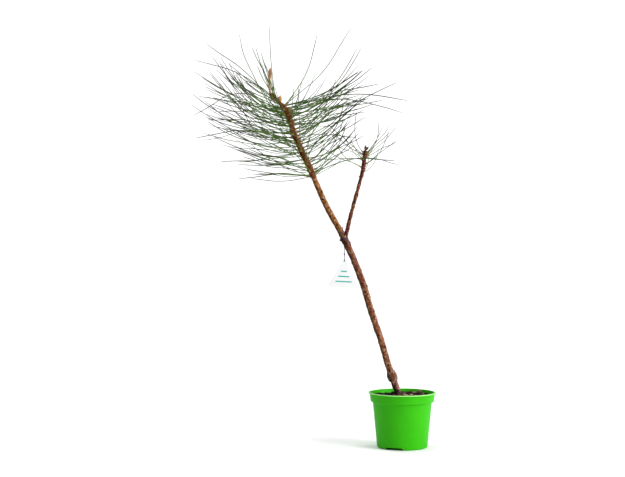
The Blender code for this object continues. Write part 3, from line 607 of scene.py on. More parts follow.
def soilBed(phases, wide):
    rings, steps = soil["rings"], soil["steps"]
    turns = [2 * math.pi * step / steps for step in range(steps)]
    points = [(0, 0, soilRelief(0, 0, phases))]
    for ring in range(1, rings + 1):
        radius = wide * (ring / rings) ** 0.9
        for turn in turns:
            x, y = radius * math.cos(turn), radius * math.sin(turn)
            points.append((x, y, soilRelief(x, y, phases)))
    shoulder = pot["bandFoot"] + pot["wall"] + soil["room"]
    for height in (shoulder, pot["bandFoot"] + soil["room"], soil["floor"]):
        radius = soilRadiusAt(height)
        points += [(radius * math.cos(turn), radius * math.sin(turn), height) for turn in turns]
    faces = [(0, 1 + step, 1 + (step + 1) % steps) for step in range(steps)]
    faces += [(a, d, c, b) for a, b, c, d in tubeFaces(rings + 3, steps, 1)]
    last = 1 + (rings + 2) * steps
    faces.append(tuple(range(last + steps - 1, last - 1, -1)))
    bed = MeshBin()
    bed.add(points, faces)
    return bed


def crumbSpots(rng, wide):
    # distance from the axis, angle, size, flatness and tone of each
    spots = []
    for count, near, far, small, large, flatness, share, tones in soil["scatter"]:
        for _ in range(count):
            radius = wide * math.sqrt(rng.uniform(near, far))
            angle = rng.uniform(0, circle)
            size = rng.uniform(small, large) * mm
            spots.append((radius, angle, size, flatness, tones[rng.random() >= share]))
    for x, y, size, tone in soil["lumps"]:
        spots.append((math.hypot(x, y) * mm, math.atan2(y, x), size * mm, 0.8, tone))
    for _ in range(soil["footGrit"]):
        spots.append((rng.uniform(5, 20) * mm, rng.uniform(0, circle), rng.uniform(0.8, 1.7) * mm, 0.8, 2))
    return spots


def buildSoil():
    rng = random.Random(soil["seed"])
    phases = soilPhases()
    wide = soilRadiusAt(soil["top"])
    finishes = finishAll(soil["finishes"])
    makeObject("soil_bed", soilBed(phases, wide).mesh("soil_bed", finishes[:1]), ["soil"])
    crumbs = MeshBin()
    for radius, angle, size, flatness, tone in crumbSpots(rng, wide):
        x, y = radius * math.cos(angle), radius * math.sin(angle)
        shape, faces = pebble(rng, size, flatness)
        base = Vector((x, y, soilRelief(x, y, phases) + 0.15 * size))
        moved = [base + p for p in shape]
        isInside = max(math.hypot(p.x, p.y) for p in moved) < wide + 0.3 * mm
        if isInside and max(p.z for p in moved) < soil["limit"]:
            crumbs.add(moved, faces, tone)
    for angle in soil["lipCrumbs"]:  # crumbs caught on the lip
        turn = math.radians(angle)
        shape, faces = pebble(rng, rng.uniform(0.8, 1.5) * mm, 0.9)
        x, y = soil["lipRadius"] * math.cos(turn), soil["lipRadius"] * math.sin(turn)
        base = Vector((x, y, pot["rimTop"] + 0.5 * mm))
        crumbs.add([base + p for p in shape], faces)
    made = crumbs.mesh("soil_crumbs", finishes)
    made.shade_flat()
    makeObject("soil_crumbs", made)
    print("soil made,", len(made.polygons), "crumb faces")


# Bark: scaly relief that follows the limb, with a crack, middle and ridge colour at each height, painted
# shade at the foot and painted shade and highlight by the side it faces

bark = {
    "seed": 31, "rowStep": 0.8 * mm, "trunkSides": 52, "branchSides": 34, "proud": 0.25 * mm,
    "flakeScale": 300.0, "flakeStretch": (1.0, 1.0, 0.65), "flakeWide": 3.0 * mm,
    "flakeTall": 5.0 * mm, "flakeDepth": 0.9 * mm, "leafyFrom": 472.0 * mm, "branchLeafyFrom": 474.0 * mm,
    "leafyThick": 2.2 * mm, "branchLeafyThick": 1.1 * mm, "bendFrom": 604.0 * mm,
    "pegStep": 3.7 * mm, "leafyPegStep": 1.15 * mm,
    # from this height on, rising to the right by the tilt: crack, middle and ridge colour, share of the
    # painted highlight on the +X side
    "trunkZones": (
        # the first zone, near black round the foot where the trunk meets the soil, is painted shade
        (0, 0, (0.008, 0.003, 0.002), (0.03, 0.009, 0.006), (0.16, 0.08, 0.06), 0.1),
        (102, -2, (0.07, 0.012, 0.008), (0.28, 0.07, 0.045), (0.62, 0.36, 0.28), 0.8),
        (117, 0, (0.03, 0.009, 0.005), (0.22, 0.07, 0.035), (0.52, 0.3, 0.2), 0.6),
        (134, 0, (0.03, 0.008, 0.003), (0.29, 0.078, 0.019), (0.56, 0.27, 0.14), 0.7),
        (282, 0, (0.024, 0.006, 0.002), (0.22, 0.048, 0.012), (0.46, 0.22, 0.13), 0.55),
        (359, 7, (0.006, 0.001, 0.001), (0.07, 0.016, 0.008), (0.24, 0.12, 0.09), 0.2),
        (371, 0, (0.04, 0.011, 0.002), (0.31, 0.1, 0.009), (0.62, 0.3, 0.13), 0.5),
        (474, 0, (0.03, 0.006, 0.001), (0.2, 0.046, 0.006), (0.34, 0.14, 0.04), 0.2),
        (616, 0, (0.02, 0.001, 0.001), (0.12, 0.012, 0.006), (0.26, 0.07, 0.04), 0.1),
    ),
    "branchZones": (
        (0, 0, (0.014, 0.004, 0.004), (0.1, 0.022, 0.013), (0.24, 0.11, 0.08), 0.2),
        (374, 0, (0.03, 0.003, 0.005), (0.18, 0.016, 0.02), (0.34, 0.1, 0.08), 0.25),
        (390, 0, (0.024, 0.005, 0.002), (0.21, 0.042, 0.007), (0.4, 0.16, 0.07), 0.3),
        (466, 0, (0.012, 0.002, 0.001), (0.13, 0.022, 0.012), (0.24, 0.08, 0.05), 0.12),
    ),
    "leafBases": {"leafBaseBrown": (0.13, 0.026, 0.006), "leafBaseTan": (0.24, 0.09, 0.025),
                  "scarDark": (0.022, 0.005, 0.002)},
    "scarTall": 1.8 * mm, "scarWide": 1.6 * mm, "grain": (1100.0, 0.0004, 0.7, 0.6, 0.9, (1.0, 1.0, 0.5)),
    "gloss": 0.15,
    "stubHeight": 363.0 * mm, "stubLength": 11.5 * mm, "stubRadius": 1.9 * mm,
    # extra ridges round the trunk: height, how far they stand out, how wide they are, in mm
    "rings": ((113.5, -1.0, 2.4), (120.0, 1.1, 1.8), (126.5, 0.6, 1.5), (133.0, 0.4, 1.2), (282.0, 1.3, 2.0),
              (356.0, 0.5, 1.4), (362.0, 0.5, 1.3), (367.5, 0.6, 1.4)),
}


def barkRelief(radius, turn, height, seed, strength):
    # flakes with cracks between them, and a finer grain
    spot = Vector((math.cos(turn) * radius / bark["flakeWide"], math.sin(turn) * radius / bark["flakeWide"],
                   height / bark["flakeTall"] + seed))
    warp = noise.noise(spot * 1.7) * 0.35
    near, second = noise.voronoi(spot + Vector((warp, -warp, warp)))[0][:2]
    crack = min(1.0, (second - near) * 3.0)
    grain = noise.noise(Vector((turn * radius / mm * 1.1, height / mm * 0.4, seed)))
    lift = noise.noise(spot * 0.7 + Vector((3, 1, 7)))
    depth = bark["flakeDepth"] * strength
    return depth * (crack - 0.6 + 0.4 * grain + 0.9 * lift)


def leafyThickness(node, height):
    # the layer of leaf bases, thinner on the bend near the tip
    if node == "side_branch":
        return bark["branchLeafyThick"]
    return bark["leafyThick"] * (1.0 if height < bark["bendFrom"] else 0.5)


def zoneOf(zones, height, turn=0.0):
    return max(k for k, zone in enumerate(zones) if height / mm >= zone[0] - zone[1] * math.cos(turn))


def scarPlaces(rng, low, high):
    # where needles once stood on the bare wood: height, heading in degrees and size
    places = []
    height, turn = low, rng.uniform(0, 360)
    while height < high:
        turn += growth["goldenAngle"]
        places.append((height, (turn + rng.uniform(-12, 12)) % 360, rng.uniform(0.75, 1.3)))
        height += bark["pegStep"] * rng.uniform(0.6, 1.4)
    return places


def buildLimb(name, node, path, radiusAt, low, high, sides, seed, zones, leafyFrom, rings, scars):
    heights = np.arange(low, high, bark["rowStep"])
    points = [centreAt(path, h) for h in heights]
    radii, relief, slots = [], [], []
    for height in heights:
        leafy = min(1.0, max(0.0, (height - leafyFrom) / (9 * mm))) * leafyThickness(node, height)
        radius = radiusAt(height) + leafy + bark["proud"]
        strength = 1.15 - 0.5 * min(1.0, (height - low) / (300 * mm))
        collar = sum(h * mm * math.exp(-(((height / mm - at) / wide) ** 2)) for at, h, wide in rings)
        row = []
        for i in range(sides):
            turn = 2 * math.pi * i / sides
            around = (2 * math.cos(turn), 2 * math.sin(turn))
            knobs = 0.55 + 0.9 * noise.noise(Vector((*around, height / mm)))
            row.append(barkRelief(radius, turn, height, seed, strength) + collar * knobs)
            edge = 6 * mm * noise.noise(Vector((*around, height / (6 * mm))))
            slots.append(zoneOf(zones, height + edge, turn))
        radii.append(radius)
        relief.append(row)
    verts, faces = sweepTube(points, radii, sides, np.array(relief))
    slots = slots[:-sides] + [slots[0], slots[-1]]
    for at, heading, size in scars:
        for row in np.flatnonzero(abs(heights[:-1] - at) < bark["scarTall"] * size):
            for i in range(sides):
                off = angleOff(360 * (i + 0.5) / sides + 180, heading)
                across = math.radians(off) * radii[row] / (bark["scarWide"] * size)
                if across ** 2 + ((heights[row] - at) / (bark["scarTall"] * size)) ** 2 < 1:
                    slots[row * sides + i] = len(zones)
    limb = MeshBin()
    limb.add(verts, faces, slots)
    if node == "trunk":
        limb.add(*brokenStub(), zoneOf(zones, bark["stubHeight"]))
    materials = zoneMaterials(name, zones) + [baseMaterial(name + "_scars", bark["leafBases"]["scarDark"])]
    makeObject(name, limb.mesh(name, materials), [node])


def brokenStub():
    root = centreAt(limbs["trunkPath"], bark["stubHeight"])
    out = Vector((-0.9, -0.25, 0.2)).normalized()
    shares = np.linspace(0.2, 1.0, 14)
    radii = [bark["stubRadius"] * (1.45 - 0.6 * s) for s in shares[:-1]] + [0.4 * mm]
    relief = [[0.3 * mm * noise.noise(Vector((2 * math.cos(a), 2 * math.sin(a), 9 * s)))
               for a in np.linspace(0, circle, 14, endpoint=False)] for s in shares]
    points = [root + out * bark["stubLength"] * s for s in shares]
    return sweepTube(points, radii, 14, np.array(relief))


def addPeg(store, root, out, up, length, wide, slot):
    # a leaf base: a small blunt scale that leans up along the bark
    side = out.cross(up).normalized()
    points = []
    for share, scale in ((-0.5, 1.0), (0.35, 0.95), (0.8, 0.6), (1.0, 0.15)):
        middle = root + (out * 0.75 + up * 0.65) * length * share
        points += [middle + (side * math.cos(a) + (up - out * 0.5) * math.sin(a) * 0.6) * wide * scale
                   for a in (k * math.pi / 3 for k in range(6))]
    store.add(points, tubeFaces(4, 6) + [tuple(range(5, -1, -1)), tuple(range(18, 24))], slot)


def pegsAlong(store, rng, node, path, radiusAt, low, high, tanShare, scars):
    # leaf bases on the leafy part, and a dark nub at every scar below it
    height, turn = low, rng.uniform(0, 360)
    while height < high:
        turn += growth["goldenAngle"]
        out = outward(path, height, turn + rng.uniform(-12, 12))
        size = rng.uniform(0.8, 1.25)
        reach = radiusAt(height) + bark["proud"] + leafyThickness(node, height) - 0.2 * mm
        addPeg(store, centreAt(path, height) + out * reach, out, tangentAt(path, height),
               2.1 * size * mm, 1.05 * size * mm, 1 if rng.random() < tanShare else 0)
        height += bark["leafyPegStep"]
    for at, heading, size in scars:
        out = outward(path, at, heading)
        addPeg(store, centreAt(path, at) + out * (radiusAt(at) + bark["proud"]), out, tangentAt(path, at),
               1.5 * size * mm, 0.9 * size * mm, 2)


def zoneMaterials(name, zones):
    # the last value of each zone sets how much painted highlight the side facing +X gets
    return [
        finish(f"{name}_{number}", (crack, middle, ridge, bark["flakeScale"], bark["flakeStretch"], paintedHighlight),
               bark["grain"], bark["gloss"], "flakes")
        for number, (_, _, crack, middle, ridge, paintedHighlight) in enumerate(zones)
    ]


def baseMaterial(name, base):
    tones = (base, scaled(base, 0.45), scaled(base, 1.6, 0.02), 240.0, 0.6, (1.0, 1.0, 0.45))
    return finish(name, tones, bark["grain"], bark["gloss"])


def buildLimbs():
    rng = random.Random(bark["seed"])
    trunkPath, branchPath = limbs["trunkPath"], limbs["branchPath"]
    leafyFrom, branchLeafyFrom = bark["leafyFrom"], bark["branchLeafyFrom"]
    trunkScars = scarPlaces(rng, 140 * mm, leafyFrom - 4 * mm)
    branchScars = scarPlaces(rng, 385 * mm, 470 * mm)
    branchRings = [(height, 0.45, 1.0) for height in range(388, 472, 6)]
    buildLimb("trunk_bark", "trunk", trunkPath, trunkRadius, limbs["trunkFoot"] - 1.2 * mm, limbs["trunkTip"],
              bark["trunkSides"], 11, bark["trunkZones"], leafyFrom, bark["rings"], trunkScars)
    buildLimb("side_branch_bark", "side_branch", branchPath, branchRadius, 362 * mm, limbs["branchTip"],
              bark["branchSides"], 23, bark["branchZones"], branchLeafyFrom, branchRings, branchScars)
    pegs = MeshBin()
    pegsAlong(pegs, rng, "trunk", trunkPath, trunkRadius, leafyFrom, 621 * mm, 0.3, trunkScars)
    pegsAlong(pegs, rng, "side_branch", branchPath, branchRadius, branchLeafyFrom, 522 * mm, 0.1, branchScars)
    tones = [baseMaterial(name, base) for name, base in bark["leafBases"].items()]
    makeObject("leaf_bases", pegs.mesh("leaf_bases", tones))
    print("limbs made,", len(pegs.faces), "faces of leaf bases")


# Needles: the source's rule, with finer needles, sheaths and tints

growth = {
    "seed": 20, "goldenAngle": 137.508, "needleRadius": 0.95 * mm, "slimness": 0.0062,
    "pairSpacing": 1.9 * mm, "pairOpening": 9.0, "clearance": 0.7 * mm, "redraws": 40,
    "pointSpacing": 2.0 * mm, "rootPoints": 5,
    "sleeveThick": 1.9 * mm, "rootDepth": 1.2 * mm, "sectorMargin": 5.0, "rootMargin": 24.0,
    "crestTurn": 62.0,
    "steps": 5, "rootSpread": 6.0, "tipSpread": 16.0, "bowSpread": 9.0, "sagLimit": 8.0, "swerveSpread": 9.0,
    "headings": {"left": 180.0, "right": 0.0, "front": -90.0, "back": 90.0},
    # heights in mm, bundles on the spiral, then for each side the rise at root and tip, and the length in mm
    "tiers": {
        "low": ((476, 518), 27, {
            "left": (2, 6, 138), "right": (18, 48, 112), "front": (2, 24, 105), "back": (4, 28, 110)}),
        "middle": ((519, 563), 36, {
            "left": (-3, 32, 178), "right": (12, 42, 140), "front": (4, 28, 125), "back": (6, 32, 130)}),
        "upper": ((564, 604), 42, {
            "left": (4, 37, 176), "right": (8, 25, 172), "front": (6, 40, 125), "back": (8, 44, 130)}),
    },
    "crest": ((606, 618), 7, (42, 36, 108)),
    "sideShoot": ((478, 521), 8, {"left": (26, 36, 100), "right": (22, 50, 72)}),
    "thinSides": ("front", "back"),
    # mass, root height, heading, swerve, rise at root and tip, bow, length
    "reach": (
        ("crest", 614, 120, 50, 73, 90, 0, 135),
        ("crest", 615, 146, 30, 36, 20, 8, 174),
        ("crest", 611, 216, -24, 26, 42, 10, 162),
        ("leader_upper_right", 601, 15, -12, 52, 74, -6, 143),
        ("leader_upper_right", 601, -15, 12, 42, 53, -10, 184),
        ("leader_upper_right", 597, 8, -4, 8, 62, -4, 176),
        ("leader_upper_right", 594, -9, 2, 24, -10, 2, 216),
        ("leader_upper_right", 590, 10, 2, 26, -16, 4, 214),
        ("leader_upper_right", 586, -4, 4, 14, 18, -10, 198),
        ("leader_upper_left", 599, 170, 4, 22, -20, 18, 176),
        ("leader_upper_left", 592, 184, -6, -4, 66, 0, 160),
        ("leader_middle_left", 556, 184, -4, -4, 38, 0, 192),
        ("leader_middle_left", 549, 176, 4, -4, 32, -6, 195),
        ("leader_middle_left", 541, 186, 0, 10, -4, 12, 178),
        ("leader_low_right", 482, -14, 0, 26, -4, 4, 148),
        ("branch_left", 519, 172, 4, 48, 104, 0, 80),
        ("branch_left", 508, 200, 0, 4, -6, 0, 96),
        ("branch_right", 519, 8, 0, 34, 92, 0, 62),
        ("branch_right", 515, -8, 4, 34, 50, 0, 74),
        ("branch_right", 511, 4, 0, -2, -18, 0, 60),
    ),
}


def needlePoints(root, heading, riseRoot, riseTip, bow, length, swerve):
    steps = growth["steps"]
    points, at, fine = [root], root.copy(), 8 * steps
    for i in range(fine):
        t = (i + 0.5) / fine
        rise = riseRoot + (riseTip - riseRoot) * t * (1.6 - 0.6 * t) + bow * math.sin(2 * math.pi * t)
        rise = math.radians(rise)
        level = levelDirection(heading + swerve * t)
        at = at + (level * math.cos(rise) + Vector((0, 0, math.sin(rise)))) * (length / fine)
        if (i + 1) % 8 == 0:
            points.append(at.copy())
    return points


def needleRadius(length):
    return max(growth["needleRadius"], growth["slimness"] * length)


def dense(points):
    rows = []
    for a, b in zip(points, points[1:]):
        count = max(1, math.ceil((b - a).length / growth["pointSpacing"]))
        rows += [tuple(a.lerp(b, i / count)) for i in range(count)]
    rows.append(tuple(points[-1]))
    return np.array(rows)


class Room:
    # what is already placed, as balls along each piece
    def __init__(self):
        self.centres, self.radii, self.owners = [], [], []

    def add(self, points, radius, owner):
        self.centres.append(points)
        self.radii.append(np.full(len(points), radius))
        self.owners += [owner] * len(points)

    def isClear(self, points, radius, owner):
        apart = np.linalg.norm(points[:, None] - np.concatenate(self.centres)[None], axis=2)
        touches = apart < np.concatenate(self.radii) + radius + growth["clearance"]
        atHome = np.array([known in (owner, "limb") for known in self.owners])
        touches[:growth["rootPoints"]] &= ~atHome
        return not touches.any()


def limbRoom():
    room = Room()
    trunkPath, branchPath = limbs["trunkPath"], limbs["branchPath"]
    for path, radiusAt, low, high in (
        (trunkPath, trunkRadius, 84, 620), (trunkPath, candleRadius, 624, 669),
        (branchPath, branchRadius, 372, 530),
    ):
        for height in np.arange(low, high, 2.0) * mm:
            extra = limbs["gap"] + growth["sleeveThick"] if 474 * mm < height < 620 * mm else 0.0
            room.add(np.array([centreAt(path, height)]), radiusAt(height) + extra, "limb")
    bud = centreAt(trunkPath, limbs["budFoot"]) + limbs["budOffset"]
    for share in (0.3, 0.6, 0.9):
        room.add(np.array([bud + Vector((0, 0, limbs["budLength"] * share))]), limbs["budRadius"], "bud")
    return room


def insideSector(turn, mass, margin=4.0):
    limit = mass.spread - margin
    return mass.heading + max(-limit, min(limit, angleOff(turn, mass.heading)))


class Mass:
    def __init__(self, name, limb, low, high, heading, spread):
        self.name = name
        self.path, self.radiusAt = {
            "leader": (limbs["trunkPath"], trunkRadius), "branch": (limbs["branchPath"], branchRadius)}[limb]
        self.low, self.high = low * mm, high * mm
        self.heading, self.spread = heading, spread
        self.needles = []  # points, length and number of the bundle

    def holds(self, turn):
        return self.name == "crest" or abs(angleOff(turn, self.heading)) < self.spread

    def root(self, height, heading, aside):
        height = min(max(height, self.low + 2.5 * mm), self.high - 2.5 * mm)
        heading = insideSector(heading, self, growth["rootMargin"])
        reach = self.radiusAt(height) + limbs["gap"] + growth["sleeveThick"] - growth["rootDepth"]
        out = outward(self.path, height, heading)
        beside = tangentAt(self.path, height).cross(out)
        return centreAt(self.path, height) + out * reach + beside * aside

    def place(self, room, root, heading, riseRoot, riseTip, bow, length, swerve, bundle):
        points = needlePoints(root, heading, riseRoot, riseTip, bow, length, swerve)
        off = points[-1] - centreAt(self.path, root.z)
        if not self.holds(math.degrees(math.atan2(off.y, off.x))):
            return False
        line = dense(points)
        if not room.isClear(line, needleRadius(length), self.name):
            return False
        room.add(line, needleRadius(length), self.name)
        self.needles.append((points, length, bundle))
        return True


def growBundle(mass, room, rng, height, turn, bundle, riseRoot, riseTip, length):
    for side in (-1, 1):
        for _ in range(growth["redraws"]):
            heading = turn + side * growth["pairOpening"] * rng.uniform(0.4, 1.3)
            root = mass.root(height, turn, side * growth["pairSpacing"] / 2)
            ownLength = length * mm * rng.uniform(0.8, 1.06)
            start = riseRoot + rng.gauss(0, growth["rootSpread"])
            ending = riseTip + rng.gauss(0, growth["tipSpread"])
            bow = max(-growth["sagLimit"], rng.gauss(0, growth["bowSpread"]))
            swerve = rng.gauss(0, growth["swerveSpread"])
            if mass.place(room, root, heading, start, ending, bow, ownLength, swerve, bundle):
                break


def makeMasses():
    masses = {}
    for tier, ((low, high), _, sides) in growth["tiers"].items():
        for side in sides:
            name = f"leader_{tier}_{side}"
            heading, spread = growth["headings"][side], 45 - growth["sectorMargin"]
            masses[name] = Mass(name, "leader", low, high, heading, spread)
    (low, high), _, _ = growth["crest"]
    masses["crest"] = Mass("crest", "leader", low, high, 180.0, 138.0)
    (low, high), _, sides = growth["sideShoot"]
    for side in sides:
        name = f"branch_{side}"
        heading, spread = growth["headings"][side], 90 - growth["sectorMargin"]
        masses[name] = Mass(name, "branch", low, high, heading, spread)
    return masses


def nearestSide(turn, sides):
    return min(sides, key=lambda side: abs(angleOff(turn, growth["headings"][side])))


def growAll(masses):
    rng = random.Random(growth["seed"])
    room = limbRoom()
    bundle = 0
    for name, height, heading, swerve, riseRoot, riseTip, bow, length in growth["reach"]:
        mass = masses[name]
        bundle += 1
        root = mass.root(height * mm, heading, 0.0)
        mass.place(room, root, heading, riseRoot, riseTip, bow, length * mm, swerve, bundle)
    turn = 0.0
    for tier, ((low, high), count, sides) in growth["tiers"].items():
        for i in range(count):
            turn += growth["goldenAngle"]
            side = nearestSide(turn, sides)
            if side in growth["thinSides"] and i % 2:
                continue
            bundle += 1
            mass = masses[f"leader_{tier}_{side}"]
            height = (low + (high - low) * (i + 0.5) / count) * mm
            growBundle(mass, room, rng, height, insideSector(turn, mass), bundle, *sides[side])
    (low, high), count, shape = growth["crest"]
    for i in range(count):
        turn += growth["goldenAngle"]
        bundle += 1
        height = (low + (high - low) * (i + 0.5) / count) * mm
        heading = 180.0 + growth["crestTurn"] * math.sin(math.radians(turn))
        growBundle(masses["crest"], room, rng, height, heading, bundle, *shape)
    (low, high), count, sides = growth["sideShoot"]
    for i in range(count):
        turn += growth["goldenAngle"]
        bundle += 1
        side = nearestSide(turn, sides)
        mass = masses[f"branch_{side}"]
        height = low + (high - low) * ((i + 0.5) / count) ** 0.6
        growBundle(mass, room, rng, height * mm, insideSector(turn, mass, 20), bundle, *sides[side])


needleLook = {
    "seed": 77, "rows": 20, "sides": 6, "radius": 0.745 * mm, "flat": 0.85, "wander": 2.3 * mm,
    "sheath": 8.0 * mm, "sheathRadius": 1.3 * mm, "sheathSides": 7,
    # how far from its foot a needle is drawn towards its sheath, and how strongly
    "pullLength": 22.0 * mm, "pull": 0.85, "taperFrom": 0.8, "taper": 0.45,
    # base colours from the sheath to the tip, three tints of each
    "tones": (
        ((0.16, 0.2, 0.035), (0.1, 0.16, 0.025), (0.22, 0.24, 0.06)),
        ((0.052, 0.12, 0.01), (0.034, 0.085, 0.007), (0.086, 0.165, 0.018)),
        ((0.038, 0.066, 0.012), (0.027, 0.049, 0.01), (0.054, 0.088, 0.017)),
        ((0.036, 0.043, 0.028), (0.026, 0.032, 0.022), (0.05, 0.06, 0.038)),
    ),
    "toneEnds": (0.06, 0.46, 0.76, 1.01),
    # masses whose needles get a finer companion, and how many of them do
    "companions": {"leader_low_left": 0.5, "leader_middle_left": 0.65, "leader_upper_left": 0.45},
    # masses with thinner needles
    "slender": {
        "branch_left": 0.78, "branch_right": 0.78, "leader_low_front": 0.8, "leader_middle_front": 0.8,
        "leader_upper_front": 0.8, "leader_low_back": 0.85, "leader_middle_back": 0.85,
        "leader_upper_back": 0.9, "leader_low_left": 0.97, "leader_middle_left": 0.97,
        "leader_upper_left": 0.97, "leader_upper_right": 1.05, "leader_middle_right": 1.03,
    },
    "companionSpread": 7.0, "companionThick": 0.8, "gloss": 0.14,
    "grain": (1600.0, 0.0001, 0.3, 0.45, 0.6),
    "finishes": {
        "sheaths": (((0.19, 0.16, 0.04), (0.05, 0.035, 0.012), (0.34, 0.32, 0.11), 500.0, 0.8),
                    (1400.0, 0.0003, 0.5, 0.6, 0.85)),
    },
}


def needleMaterials():
    made = []
    for place, tints in enumerate(needleLook["tones"]):
        for number, tint in enumerate(tints):
            tones = (tint, scaled(tint, 0.6), scaled(tint, 1.5), 160.0, 0.5)
            made.append(finish(f"needle_{place}_{number}", tones, needleLook["grain"], needleLook["gloss"]))
    return made


def curvedLine(points, rows):
    # a smooth line through the rule's points
    padded = [points[0] * 2 - points[1], *points, points[-1] * 2 - points[-2]]
    line = []
    spans = len(points) - 1
    for row in range(rows + 1):
        place = min(spans - 1e-6, row / rows * spans)
        k = int(place)
        t = place - k
        a, b, c, d = padded[k:k + 4]
        line.append(0.5 * (2 * b + (c - a) * t + (2 * a - 5 * b + 4 * c - d) * t ** 2
                           + (3 * b - a - 3 * c + d) * t ** 3))
    return line


def companion(points, length, rng):
    # a slightly shorter needle from the same root, turned a little from its neighbour
    spread = math.radians(needleLook["companionSpread"])
    away = (points[-1] - points[0]).normalized()
    turn = Matrix.Rotation(rng.gauss(0, spread), 3, "Z")
    turn @= Matrix.Rotation(rng.gauss(0, spread), 3, away.cross((0, 0, 1)))
    share = rng.uniform(0.78, 0.95)
    return [points[0] + turn @ (point - points[0]) * share for point in points], length * share


def finerLine(rng, points, length, middle, ahead, sheathEnd):
    # the rule's curve, drawn into its sheath at the foot and swaying further out
    rows = needleLook["rows"]
    line = curvedLine(points, rows)
    bendX, bendY = rng.uniform(0, circle), rng.uniform(0, circle)
    for row, point in enumerate(line):
        t = row / rows
        pull = needleLook["pull"] * max(0.0, 1 - t * length / needleLook["pullLength"]) ** 2
        spot = point.lerp(sheathEnd - ahead * (1 - t) * 3 * mm, pull) if row else middle
        sway = needleLook["wander"] * math.sin(math.pi * t) * t
        line[row] = spot + Vector((0, math.sin(5 * t + bendX), math.sin(6 * t + bendY))) * sway
    return line


def needleSlots(tint):
    slots = []
    for row in range(needleLook["rows"]):
        share = (row + 0.5) / needleLook["rows"]
        tone = next(k for k, end in enumerate(needleLook["toneEnds"]) if share < end)
        slots += [3 * tone + tint] * needleLook["sides"]
    return slots + [tint, 9 + tint]


def bundlesOf(mass, rng):
    # the needles of each bundle with their companions: points, length and share of the thickness
    bundles = {}
    for points, length, bundle in mass.needles:
        bundles.setdefault(bundle, []).append((points, length, 1.0))
        if rng.random() < needleLook["companions"].get(mass.name, 0.0):
            bundles[bundle].append((*companion(points, length, rng), needleLook["companionThick"]))
    return bundles.values()


def buildNeedles():
    masses = makeMasses()
    growAll(masses)
    materials = needleMaterials()
    rng = random.Random(needleLook["seed"])
    sheaths = MeshBin()
    rows = needleLook["rows"]
    start = needleLook["taperFrom"]
    past = [max(0.0, (row / rows - start) / (1 - start)) for row in range(rows + 1)]
    tapers = [1 - needleLook["taper"] * share ** 2 for share in past]
    total = 0
    for mass in masses.values():
        joined = MeshBin()
        for members in bundlesOf(mass, rng):
            middle = sum((points[0] for points, _, _ in members), Vector()) / len(members)
            starts = [(points[1] - points[0]).normalized() for points, _, _ in members]
            ahead = sum(starts, Vector()).normalized()
            sheathEnd = middle + ahead * needleLook["sheath"] * rng.uniform(0.75, 1.1)
            axis = [middle.lerp(sheathEnd, t) for t in (0, 0.35, 0.7, 0.95, 1.0)]
            wide = needleLook["sheathRadius"] * rng.uniform(0.85, 1.1)
            widths = [wide * share for share in (1.25, 1.1, 1.0, 0.9, 0.5)]
            sheaths.add(*sweepTube(axis, widths, needleLook["sheathSides"]))
            for points, length, share in members:
                line = finerLine(rng, points, length, middle, ahead, sheathEnd)
                thick = share * needleLook["radius"] * rng.uniform(0.9, 1.12)
                thick *= needleLook["slender"].get(mass.name, 1.0)
                radii = [thick * taper for taper in tapers]
                tube = sweepTube(line, radii, needleLook["sides"], flat=needleLook["flat"])
                joined.add(*tube, needleSlots(rng.randrange(3)))
                total += 1
        makeObject(mass.name + "_needles", joined.mesh(mass.name, materials), [mass.name])
    sheathMesh = sheaths.mesh("needle_sheaths", finishAll(needleLook["finishes"]))
    makeObject("needle_sheaths", sheathMesh)
    print("needles made,", total)


# Buds: bodies covered with overlapping scales

buds = {
    "scaleRise": 2.4 * mm, "scalesRound": 5, "scaleLift": 0.32 * mm, "rows": 90, "sides": 30,
    "stalkTop": 650 * mm, "secondLean": 6, "sideLean": 38,
    "finishes": {
        "dryScales": (((0.36, 0.17, 0.07), (0.1, 0.035, 0.012), (0.6, 0.36, 0.2), 330.0, 1.0, (1, 1, 0.35)),
                      (1500.0, 0.0003, 0.6, 0.6, 0.85, (1, 1, 0.3))),
        "paleStalk": (((0.42, 0.24, 0.16), (0.22, 0.09, 0.06), (0.6, 0.42, 0.32), 300.0, 0.9, (1, 1, 0.3)),
                      (1500.0, 0.0003, 0.6, 0.6, 0.85, (1, 1, 0.3))),
        "brownScales": (((0.4, 0.17, 0.05), (0.13, 0.04, 0.015), (0.64, 0.4, 0.22), 360.0, 0.9),
                        (1500.0, 0.0003, 0.5, 0.5, 0.75)),
        "darkScales": (((0.075, 0.03, 0.022), (0.02, 0.01, 0.008), (0.2, 0.1, 0.06), 360.0, 0.8),
                       (1500.0, 0.0003, 0.5, 0.5, 0.8)),
    },
}


def scaleRelief(heights, sides, lift):
    rows = []
    for height in heights:
        row = []
        for i in range(sides):
            turn = i / sides
            place = height / buds["scaleRise"] + turn * 3
            course = math.floor(place)
            within = place - course
            lobe = abs(((turn * buds["scalesRound"] + 0.5 * (course % 2)) % 1.0) - 0.5) * 2
            row.append(lift * ((1 - within) ** 0.6 * (1 - 0.75 * lobe ** 2)))
        rows.append(row)
    return np.array(rows)


def scalyBody(axisPoints, radii):
    rows = buds["rows"]
    spans = np.linspace(0, len(axisPoints) - 1, rows)
    known = np.arange(len(axisPoints))
    points = np.stack([np.interp(spans, known, [p[k] for p in axisPoints]) for k in range(3)], axis=1)
    widths = np.interp(spans, known, radii)
    lengths = np.concatenate([[0], np.cumsum(np.linalg.norm(np.diff(points, axis=0), axis=1))])
    lift = buds["scaleLift"]
    relief = scaleRelief(lengths, buds["sides"], lift) * np.clip(widths / max(widths), 0.3, 1)[:, None]
    return sweepTube(points, widths, buds["sides"], relief - 0.4 * lift)


